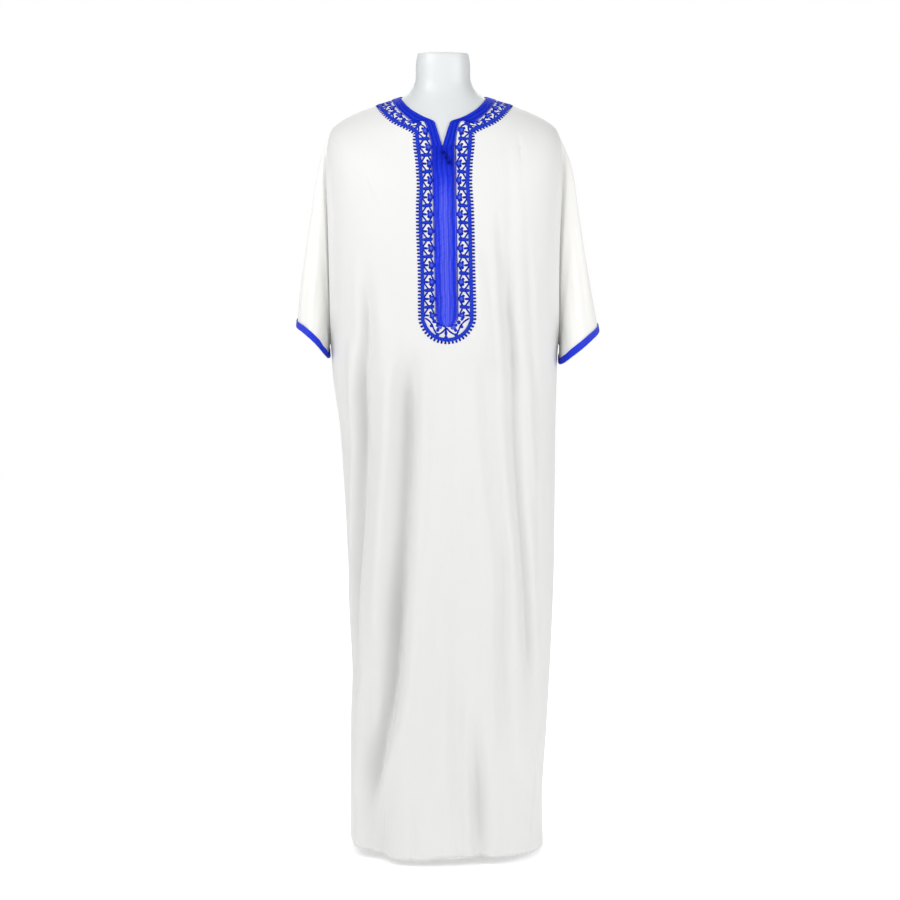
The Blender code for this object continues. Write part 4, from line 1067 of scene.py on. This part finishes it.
# The braid starts this share of its width above the sleeve's foot.
CUFF_START_SHARE = 0.02
CUFF_LIGHT = 0.78
# Painted shade: the cuff braid darker towards the underarm, beside the body.
CUFF_UNDERARM_PAINTED_SHADE = 0.35


def make_cuff_braid(sleeve):
    turns = sleeve_turns(sleeve, CUFF_CELLS)[None, :]
    step = 0.01
    foot = plain_sleeve(sleeve, turns, 1.0)
    length = np.linalg.norm(foot - plain_sleeve(sleeve, turns, 1.0 - step), axis=-1) / step
    width = CUFF_BRAID_WIDTH + CUFF_BRAID_EXTRA * np.sin(np.radians(turns)) ** 2
    share = np.linspace(1.0, 0.0, CUFF_RIBS * CUFF_RIB_CELLS + 1)[:, None]
    reach = 1.0 - (CUFF_START_SHARE + (1.0 - CUFF_START_SHARE) * share) * width / length
    crown = np.abs(np.sin(math.pi * share * CUFF_RIBS)) ** CUFF_RIB_FULLNESS + 0.0 * turns
    points = sleeve_cloth(sleeve, turns, reach, TRIM_GAP + CUFF_THICKNESS + CUFF_RIB_HEIGHT * crown)
    points[:, -1] = points[:, 0]
    uv = np.stack([lengths_along(points, 1), lengths_along(points, 0)], axis=-1)
    # Painted shade towards the underarm end of the cuff.
    light = CUFF_LIGHT - CUFF_UNDERARM_PAINTED_SHADE * (1.0 + np.cos(np.radians(turns))) / 2.0 + 0.0 * share
    made = grid_object(f"cuff_cord_{sleeve.name}", points, uv, closed=True, crown=crown, light=light)
    add_wall(made, CUFF_THICKNESS)
    return finish_piece(made, RIBS, "blue_braid", f"cuff_braid_{sleeve.name}")


# ================================================================ embroidery

# A padded stroke of satin stitch runs from (t1, s1) to (t2, s2): t in repeats down the lane from
# the flower, s across it from the band (0) to the placket (1). width is in millimetres, full is
# how square its ends are and light is its shade.
Stroke = namedtuple("Stroke", "name t1 s1 t2 s2 width full light")
LANE_WIDTH = 0.0222
SIDE_STROKES = (
    Stroke("arm_from_band", 0.06, 0.02, 0.45, 0.42, 3.2, 0.7, 0.12),
    Stroke("arm_from_flower", 0.13, 0.86, 0.45, 0.58, 3.2, 0.7, 0.12),
    Stroke("arm_to_band", 0.55, 0.4, 0.94, 0.03, 3.2, 0.7, 0.12),
    Stroke("arm_to_flower", 0.55, 0.62, 0.89, 0.86, 3.2, 0.7, 0.12),
    Stroke("middle_left", 0.525, 0.06, 0.515, 0.36, 6.3, 0.55, 0.45),
    Stroke("middle", 0.49, 0.24, 0.5, 0.66, 7.8, 0.5, 0.45),
    Stroke("middle_right", 0.475, 0.54, 0.485, 0.88, 7.6, 0.5, 0.45),
    Stroke("flower_disc", -0.17, 0.71, 0.19, 0.71, 11.0, 0.5, 0.3),
    Stroke("flower_leaf", 0.01, 0.0, 0.03, 0.46, 4.8, 0.5, 0.2),
    Stroke("flower_lower", 0.11, 0.48, 0.23, 0.7, 5.4, 0.5, 0.12),
    Stroke("flower_upper", -0.23, 0.5, -0.1, 0.6, 5.0, 0.5, 0.15),
    Stroke("flower_edge", -0.1, 0.94, 0.13, 0.94, 4.6, 0.5, 0.45),
    Stroke("band_node", -0.16, 0.01, 0.17, 0.01, 6.7, 0.3, 0.45),
)
LANE_CORNER_LEFT = -0.0385
LANE_CORNER_RIGHT = 0.0318
LANE_CORNER_HEIGHT = 1.3995
LANE_TOP_WIDENING = 0.003
FIRST_FLOWER_HEIGHT = 1.3549
LAST_FLOWER_HEIGHT = 1.0510
SIDE_REPEATS = 10
COLLAR_REPEAT = 0.0300
FLOWER_REACH = 0.0075

# The side strokes whose middles lie above this many repeats belong to the flower.
FLOWER_REPEATS = 0.2

# The foot of the bib: strokes in millimetres right of and above the middle of its round end, bent
# sideways by bend.
FootStroke = namedtuple("FootStroke", "name x1 z1 x2 z2 width bend full light")
FOOT_STROKES = (
    FootStroke("left_arch_top", -41.0, -5.0, -29.5, -14.0, 3.4, 1.0, 0.6, 0.12),
    FootStroke("left_arch_side", -30.5, -13.0, -24.8, -25.0, 3.4, 0.8, 0.6, 0.12),
    FootStroke("left_arch_foot", -25.0, -24.0, -19.0, -35.0, 3.4, 0.0, 0.6, 0.12),
    FootStroke("left_arch_leaf", -31.5, -18.0, -27.0, -20.5, 5.4, 0.0, 0.5, 0.45),
    FootStroke("left_vine_top", -29.0, -1.0, -24.5, -9.0, 5.4, 0.0, 0.5, 0.45),
    FootStroke("left_vine_bud", -27.0, -10.0, -20.5, -11.6, 7.8, 0.0, 0.5, 0.45),
    FootStroke("left_vine", -22.0, -11.5, -9.0, -19.0, 3.7, -0.8, 0.6, 0.12),
    FootStroke("left_vine_end", -10.5, -18.0, -1.6, -22.6, 3.7, 0.6, 0.6, 0.12),
    FootStroke("left_rose", -18.0, -20.5, -9.5, -22.0, 8.7, 0.0, 0.5, 0.75),
    FootStroke("left_rose_petal", -20.8, -18.2, -16.0, -19.2, 5.4, 0.0, 0.5, 0.45),
    FootStroke("left_rose_foot", -15.6, -23.0, -18.6, -30.0, 6.1, 0.0, 0.5, 0.45),
    FootStroke("right_arch_top", 41.0, -5.4, 27.5, -15.0, 3.4, -1.0, 0.6, 0.12),
    FootStroke("right_arch_side", 28.5, -14.0, 21.5, -26.0, 3.4, -0.8, 0.6, 0.12),
    FootStroke("right_arch_foot", 21.8, -25.0, 17.6, -35.0, 3.4, 0.0, 0.6, 0.12),
    FootStroke("right_arch_leaf", 24.4, -21.8, 29.4, -20.4, 5.7, 0.0, 0.5, 0.45),
    FootStroke("right_vine_top", 30.0, -3.0, 25.0, -9.5, 5.4, 0.0, 0.5, 0.45),
    FootStroke("right_vine_bud", 17.8, -13.0, 24.5, -12.8, 7.8, 0.0, 0.5, 0.45),
    FootStroke("right_rose", 6.0, -22.2, 16.0, -21.0, 9.7, 0.0, 0.5, 0.75),
    FootStroke("right_rose_petal", 13.0, -18.6, 18.8, -17.6, 5.7, 0.0, 0.5, 0.45),
    FootStroke("right_rose_foot", 13.4, -23.5, 16.8, -30.0, 6.1, 0.0, 0.5, 0.45),
    FootStroke("fan_left", -2.6, -22.5, -17.8, -35.2, 3.4, 2.4, 0.6, 0.12),
    FootStroke("fan_middle", -2.4, -21.5, -2.2, -39.5, 4.0, 0.0, 0.6, 0.12),
    FootStroke("fan_right", -1.0, -22.5, 16.4, -35.6, 3.4, -2.4, 0.6, 0.12),
    FootStroke("fan_bud", -2.4, -29.0, -2.2, -36.0, 5.9, 0.0, 0.5, 0.45),
    FootStroke("left_node", -21.0, -34.2, -14.4, -37.4, 8.3, 0.0, 0.4, 0.45),
    FootStroke("right_node", 13.4, -37.8, 20.0, -35.0, 8.3, 0.0, 0.4, 0.45),
    FootStroke("foot_node", -5.5, -40.6, 1.2, -40.6, 5.2, 0.0, 0.4, 0.45),
)
STROKE_HEIGHT = 0.0011
# Round flowers, the strokes over this width, get a painted highlight on top inside this share of their
# radius.
EYE_FROM_WIDTH = 0.0085
EYE_SHARE = 0.75
EYE_PAINTED_HIGHLIGHT = 0.9

# The comb: its pitch, and how far its teeth run as shares of the band's width.
TOOTH_PITCH = 0.0063
TOOTH_WIDTH = 0.0038
TOOTH_FULLNESS = 0.6
TOOTH_LIGHT = 0.1
TOOTH_ROOT_SHARE = BAND_STRIP.stop_share - 0.10
TOOTH_TIP_SHARE = 1.52
# On the collar, this far from the lane's ends, they are shorter.
COLLAR_TOOTH_SHARE = 0.80
COLLAR_TEETH_FROM = 0.39
COLLAR_TEETH_FADE = 0.03


def corner_order(face):
    """Sorts a small mesh's faces by their corners, as Blender lists a sphere's in any order."""
    corners = [vert.index for vert in face.verts]
    return min(corners) + max(corners) / 1000.0


def new_pads(count):
    """A mesh of this many unit spheres in one place, to be shaped into stitches."""
    pad = bmesh.new()
    bmesh.ops.create_uvsphere(pad, u_segments=10, v_segments=7, radius=1.0)
    pad.verts.index_update()
    pad.faces.sort(key=corner_order)
    unit = bpy.data.meshes.new("stitch_pad")
    pad.to_mesh(unit)
    pad.free()
    bm = bmesh.new()
    for _ in range(count):
        bm.from_mesh(unit)
    bpy.data.meshes.remove(unit)
    return bm


def make_strokes(name, strokes, to_robe):
    """Pads of satin stitch, joined in one mesh: half round on top, and mapped onto the robe.

    strokes holds (x1, y1, x2, y2, width, bend, fullness, light) of each on the flat.
    """
    bm = new_pads(len(strokes))
    x1, y1, x2, y2, width, bend, full, light = np.array(strokes, float).T[:, :, None]
    points = np.array([vert.co for vert in bm.verts]).reshape(len(strokes), -1, 3)
    across, up, along = np.moveaxis(points, -1, 0)
    ring = np.maximum(np.hypot(across, up), 1e-6)
    across, up = across / ring * ring ** (1.0 - full), up / ring * ring ** (1.0 - full)
    length = np.hypot(x2 - x1, y2 - y1)
    aside = across * width / 2.0 + bend * (1.0 - along**2)
    x = (x1 + x2) / 2.0 + ((x2 - x1) * along / 2.0) - (y2 - y1) / length * aside
    y = (y1 + y2) / 2.0 + ((y2 - y1) * along / 2.0) + (x2 - x1) / length * aside
    places = to_robe(x, y, up * STROKE_HEIGHT).reshape(-1, 3)
    flat = np.stack([along * length / 2.0, across * width / 2.0], axis=-1).reshape(-1, 2)
    # A painted highlight on top of each wide pad.
    eye_painted_highlight = np.maximum(0.0, 1.0 - (np.hypot(ring * across, along) / EYE_SHARE) ** 2)
    shades = (light + EYE_PAINTED_HIGHLIGHT * eye_painted_highlight * (width > EYE_FROM_WIDTH)).reshape(-1)
    uv_layer = bm.loops.layers.uv.new("UVMap")
    light_layer = bm.verts.layers.float.new("light")
    for vert, place, uv, shade in zip(bm.verts, places, flat, shades):
        vert.co = place
        vert[light_layer] = shade
        for loop in vert.link_loops:
            loop[uv_layer].uv = uv
    face_outwards(bm)
    return finish_piece(object_from(name, bm), SATIN, "blue_braid")


def lane_map(lane, width):
    """Takes metres along, across and up on the flat to a lane that is width across."""
    return lambda along, across, up: on_lane(lane, along, across / width, up)


def side_lane(side):
    """The embroidered lane on one side, from the back of the collar to the bib's foot."""
    band = [(side * angle, drop - BIB_BAND_WIDTH) for angle, drop in COLLAR_STOPS]
    braid = [(side * angle, NECK_BRAID_WIDTH) for angle, _ in COLLAR_STOPS]
    corner_rise = BIB_CORNER_RISE + BIB_CORNER_INNER_RISE
    band_front = [bib_corner(side, BIB_CORNER_INNER_IN, corner_rise)]
    braid_front = [(LANE_CORNER_LEFT if side < 0 else LANE_CORNER_RIGHT, LANE_CORNER_HEIGHT)]
    for row in BIB_ROWS:
        band_front.append((row.centre + side * (row.half_width - BIB_BAND_WIDTH), row.height))
        share = (BIB_TOP.height - row.height) / (BIB_TOP.height - BIB_FOOT.height)
        _, centre, half = between_rows(PLACKET_TOP, PLACKET_FOOT, share)
        if row is BIB_TOP:
            half += LANE_TOP_WIDENING
        braid_front.append((centre + side * half, row.height))
    return make_lane(band + on_front(band_front), braid + on_front(braid_front))


def make_side_embroidery(name, side):
    lane = side_lane(side)
    first = along_at(lane, FIRST_FLOWER_HEIGHT)
    last = along_at(lane, LAST_FLOWER_HEIGHT)
    pitch = (last - first) / SIDE_REPEATS
    collar_repeats = round(first / COLLAR_REPEAT)
    flowers = [(first * i / collar_repeats, first / collar_repeats) for i in range(collar_repeats)]
    flowers += [(first + pitch * i, pitch) for i in range(SIDE_REPEATS + 1)]
    end = lane.length[-1] + FLOWER_REACH
    strokes = []
    for number, (flower, repeat) in enumerate(flowers):
        for stroke in SIDE_STROKES:
            on_flower = (stroke.t1 + stroke.t2) / 2.0 < FLOWER_REPEATS
            if side > 0 and number == 0 and on_flower:
                continue
            start, stop = flower + stroke.t1 * repeat, flower + stroke.t2 * repeat
            if max(start, stop) < end and min(start, stop) > -FLOWER_REACH:
                ends = (start, stroke.s1 * LANE_WIDTH, stop, stroke.s2 * LANE_WIDTH)
                strokes.append((*ends, stroke.width / 1000.0, 0.0, stroke.full, stroke.light))
    make_strokes(name, strokes, lane_map(lane, LANE_WIDTH))


def make_teeth(lane):
    """The comb of stitches along the band's outer edge."""
    count = round(lane.length[-1] / TOOTH_PITCH)
    root, tip = TOOTH_ROOT_SHARE * BIB_BAND_WIDTH, TOOTH_TIP_SHARE * BIB_BAND_WIDTH
    look = (TOOTH_WIDTH, 0.0, TOOTH_FULLNESS, TOOTH_LIGHT)
    strokes = []
    for i in range(count):
        along = lane.length[-1] * (i + 0.5) / count
        from_end = min(along, lane.length[-1] - along)
        on_collar = soft_step((from_end - COLLAR_TEETH_FROM) / COLLAR_TEETH_FADE)
        reach = tip * (1.0 - (1.0 - COLLAR_TOOTH_SHARE) * on_collar)
        strokes.append((along, root, along, float(reach), *look))
    make_strokes("comb_stitches", strokes, lane_map(lane, BIB_BAND_WIDTH))


def make_foot_embroidery():
    strokes = [
        (*np.array(stroke[1:7]) / 1000.0, stroke.full, stroke.light) for stroke in FOOT_STROKES
    ]

    def to_robe(x, z, up):
        angle, drop = locate(BIB_FOOT.centre + x, BIB_FOOT.height + z)
        return on_robe(angle, drop, up)

    make_strokes("bib_foot_embroidery", strokes, to_robe)


# ================================================================ knots of cord

# A knot is a ball wound with one cord that goes twice round it and up and down KNOT_WRAPS times.
KNOT_SEAT = 0.0007
KNOT_CORE_SHARE = 0.84
KNOT_CORD_SHARE = 0.34
KNOT_WRAPS = 3
KNOT_SWING = 0.30
KNOT_FLATNESS = 0.9
KNOT_STEPS = 84


def make_knots():
    """Small balls of knotted cord in a slanting row at the foot of the slit."""
    turns = np.linspace(0.0, 2.0 * math.pi, KNOT_STEPS, endpoint=False)
    reach = KNOT_RADIUS * (1.0 - KNOT_CORD_SHARE) / (1.0 + KNOT_SWING)
    swing = 1.0 + KNOT_SWING * np.cos(KNOT_WRAPS * turns)
    around = [reach * swing * turned(2.0 * turns) for turned in (np.cos, np.sin)]
    route = np.stack([*around, reach * KNOT_FLATNESS * np.sin(KNOT_WRAPS * turns)], axis=-1)
    lift = TRIM_GAP + PLACKET_THICKNESS + KNOT_SEAT + KNOT_RADIUS
    for number, (angle, drop) in enumerate(on_front(KNOTS), start=1):
        centre = robe(angle, drop) + outward(robe, angle, drop) * lift
        bm = bmesh.new()
        bmesh.ops.create_icosphere(bm, subdivisions=3, radius=KNOT_RADIUS * KNOT_CORE_SHARE)
        bmesh.ops.translate(bm, verts=bm.verts, vec=centre)
        add_cord_loop(bm, centre + route, KNOT_RADIUS * KNOT_CORD_SHARE)
        face_outwards(bm)
        made = object_from(f"cord_knot_{number}", bm)
        finish_piece(made, CORD, "blue_cord", f"knot_button_{number}")


def add_cord_loop(bm, route, radius, sides=8):
    """A round cord along a closed route of points."""
    uv_layer = bm.loops.layers.uv.verify()
    count = len(route)
    turns = np.linspace(0.0, 2.0 * math.pi, sides, endpoint=False)
    rings = []
    for i in range(count):
        ahead = route[(i + 1) % count] - route[i - 1]
        ahead = ahead / np.linalg.norm(ahead)
        out = route[i] - route.mean(axis=0)
        out = out - ahead * np.dot(out, ahead)
        out = out / np.linalg.norm(out)
        beside = np.cross(ahead, out)
        rims = [radius * (math.cos(turn) * out + math.sin(turn) * beside) for turn in turns]
        rings.append([bm.verts.new(route[i] + rim) for rim in rims])
    rim_step = 2.0 * math.pi * radius / sides
    travelled = 0.0
    for i in range(count):
        step = float(np.linalg.norm(route[(i + 1) % count] - route[i]))
        here, following = rings[i], rings[(i + 1) % count]
        for j in range(sides):
            k = (j + 1) % sides
            face = bm.faces.new((here[j], here[k], following[k], following[j]))
            places = ((0.0, j), (0.0, j + 1), (step, j + 1), (step, j))
            for loop, (u, v) in zip(face.loops, places):
                loop[uv_layer].uv = (travelled + u, v * rim_step)
        travelled += step


# ================================================================ dress form

FORM_COLUMNS = 128
NECK_ROWS_BETWEEN = 8
NECK_SMOOTHINGS = 4


def form_ring(ring, angle, centre_x):
    sizes = (ring.half_width, ring.half_width, ring.front, ring.back)
    heights = (ring.side_height, ring.front_height, ring.back_height)
    return ring_point(angle, *sizes, heights, FORM_SQUARENESS) + np.array([centre_x, 0.0, 0.0])


def make_form():
    """Neck, shoulders that fill the robe's yoke, and a plain body that ends at the hips."""
    angle = np.linspace(0.0, 360.0, FORM_COLUMNS + 1)
    rings = np.stack([form_ring(ring, angle, NECK_LEAN) for ring in NECK_RINGS])
    last = len(NECK_RINGS) - 1
    row = np.linspace(0.0, last, NECK_ROWS_BETWEEN * last + 1)
    above = np.minimum(row.astype(int), last - 1)
    share = (row - above)[:, None, None]
    neck = rings[above] + (rings[above + 1] - rings[above]) * share
    for _ in range(NECK_SMOOTHINGS):
        neck[1:-1] = (neck[:-2] + 2.0 * neck[1:-1] + neck[2:]) / 4.0
    yoke = np.array(YOKE_DROPS)[:, None]
    under = plain_cloth(angle, yoke) - outward(plain_cloth, angle, yoke) * (WALL + FORM_GAP)
    body = np.stack([form_ring(ring, angle, 0.0) for ring in TORSO_RINGS])
    points = np.concatenate([neck, under, body])
    points[:, -1] = points[:, 0]
    made = grid_object("form_shell", points, np.zeros(points.shape[:2] + (2,)), closed=True)
    bm = bmesh.new()
    bm.from_mesh(made.data)
    rims = [edge for edge in bm.edges if edge.is_boundary]
    bmesh.ops.holes_fill(bm, edges=rims, sides=0)
    face_outwards(bm)
    bm.to_mesh(made.data)
    bm.free()
    made.data.shade_smooth()
    return finish_piece(made, FORM_FINISH, "form_shell", "form_torso")


def finish_stand():
    for name in ("form_pole", "form_base"):
        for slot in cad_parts[name].material_slots:
            slot.material = STEEL_FINISH


# ================================================================ floor, light and camera

ROOM_LIGHT = 0.43
Softbox = namedtuple("Softbox", "name x y z aim_height size watts")
SOFTBOXES = (
    Softbox("top_left", -1.1, -1.1, 2.3, 1.25, 0.9, 16.0),
    Softbox("side_left", -2.8, -1.6, 2.1, 1.25, 1.4, 8.0),
    Softbox("front_left", -1.35, -1.9, 1.9, 1.3, 0.8, 5.0),
    Softbox("front_right", 1.35, -1.9, 1.9, 1.3, 0.8, 7.5),
    Softbox("near_right", 1.5, -1.3, 1.7, 1.3, 0.8, 6.2),
    Softbox("side_right", 2.8, -1.6, 2.1, 1.25, 1.4, 17.0),
    Softbox("front", 0.0, -3.6, 2.4, 1.25, 1.4, 2.0),
    Softbox("behind", 0.0, 3.0, 3.0, 1.1, 2.5, 40.0),
)
FLOOR_GLOW = 0.49
FLOOR_REACH = 4.0
CAMERA_PLACE = (0.0105, -4.2, 1.5)
CAMERA_TILT = 80.2724
CAMERA_LENS = 89.711
CAMERA_SENSOR = 36.0


def make_studio():
    bm = bmesh.new()
    bmesh.ops.create_grid(bm, x_segments=1, y_segments=1, size=FLOOR_REACH)
    floor = object_from("studio_floor", bm)
    glow = {"Emission Color": (1.0, 1.0, 1.0, 1.0), "Emission Strength": FLOOR_GLOW}
    sockets = {"Roughness": 0.9, "Specular IOR Level": 0.1, **glow}
    finish, tree, shader = new_material("pale_floor", sockets)
    mottle = noise(tree, object_place(tree), 2.0)
    tree.links.new(mix_colour(tree, mottle, *FLOOR_WHITES), shader.inputs["Base Color"])
    floor.data.materials.append(finish)
    bpy.context.scene.collection.objects.link(floor)


def add_softbox(softbox):
    """A square area light that points at a height on the robe's middle line."""
    light = bpy.data.lights.new(softbox.name, "AREA")
    light.shape = "SQUARE"
    light.size = softbox.size
    light.energy = softbox.watts
    holder = bpy.data.objects.new(softbox.name, light)
    holder.location = (softbox.x, softbox.y, softbox.z)
    tilt = math.atan2(math.hypot(softbox.x, softbox.y), softbox.z - softbox.aim_height)
    holder.rotation_euler = (tilt, 0.0, math.atan2(softbox.x, -softbox.y))
    bpy.context.scene.collection.objects.link(holder)


def light_studio():
    """An even white room that lights softly, and looks plain white behind the robe."""
    world = bpy.data.worlds.new("studio")
    world.use_nodes = True
    tree = world.node_tree
    room = tree.nodes["Background"]
    room.inputs["Color"].default_value = (1.0, 1.0, 1.0, 1.0)
    seen = new_node(tree, "ShaderNodeLightPath").outputs["Is Camera Ray"]
    tree.links.new(ramp(tree, seen, ROOM_LIGHT, 1.0), room.inputs["Strength"])
    bpy.context.scene.world = world
    bpy.context.scene.view_settings.view_transform = "Standard"
    bpy.context.scene.view_settings.look = "None"
    for softbox in SOFTBOXES:
        add_softbox(softbox)


def place_camera():
    lens = bpy.data.cameras.new("camera")
    lens.lens = CAMERA_LENS
    lens.sensor_width = CAMERA_SENSOR
    camera = bpy.data.objects.new("camera", lens)
    camera.location = CAMERA_PLACE
    camera.rotation_euler = (math.radians(CAMERA_TILT), 0.0, 0.0)
    bpy.context.scene.collection.objects.link(camera)
    bpy.context.scene.camera = camera


# ================================================================ all together


def main():
    place_camera()
    front = make_front()
    back = make_back()
    sleeves = [make_sleeve(sleeve) for sleeve in SLEEVES]
    for sleeve in SLEEVES:
        make_cuff_braid(sleeve)
    band, neck, placket = band_lane(), neck_lane(), placket_lane()
    make_strip(BAND_STRIP, band, BAND, "bib_band")
    make_teeth(band)
    make_strip(NECK_STRIP, neck, BRAID, "neck_braid")
    make_strip(NECK_EDGE_STRIP, neck, BRAID)
    tones = {"middle_painted_highlight": PLACKET_PAINTED_HIGHLIGHT, "top_darker": PLACKET_TOP_DARKER}
    make_strip(PLACKET_STRIP, placket, RIBS, "placket", **tones)
    for strip in PLACKET_EDGE_STRIPS:
        make_strip(strip, placket, RIBS)
    for name, side in (("embroidery_left", -1), ("embroidery_right", 1)):
        make_side_embroidery(name, side)
    make_foot_embroidery()
    make_knots()
    make_form()
    finish_stand()
    make_studio()
    light_studio()


main()
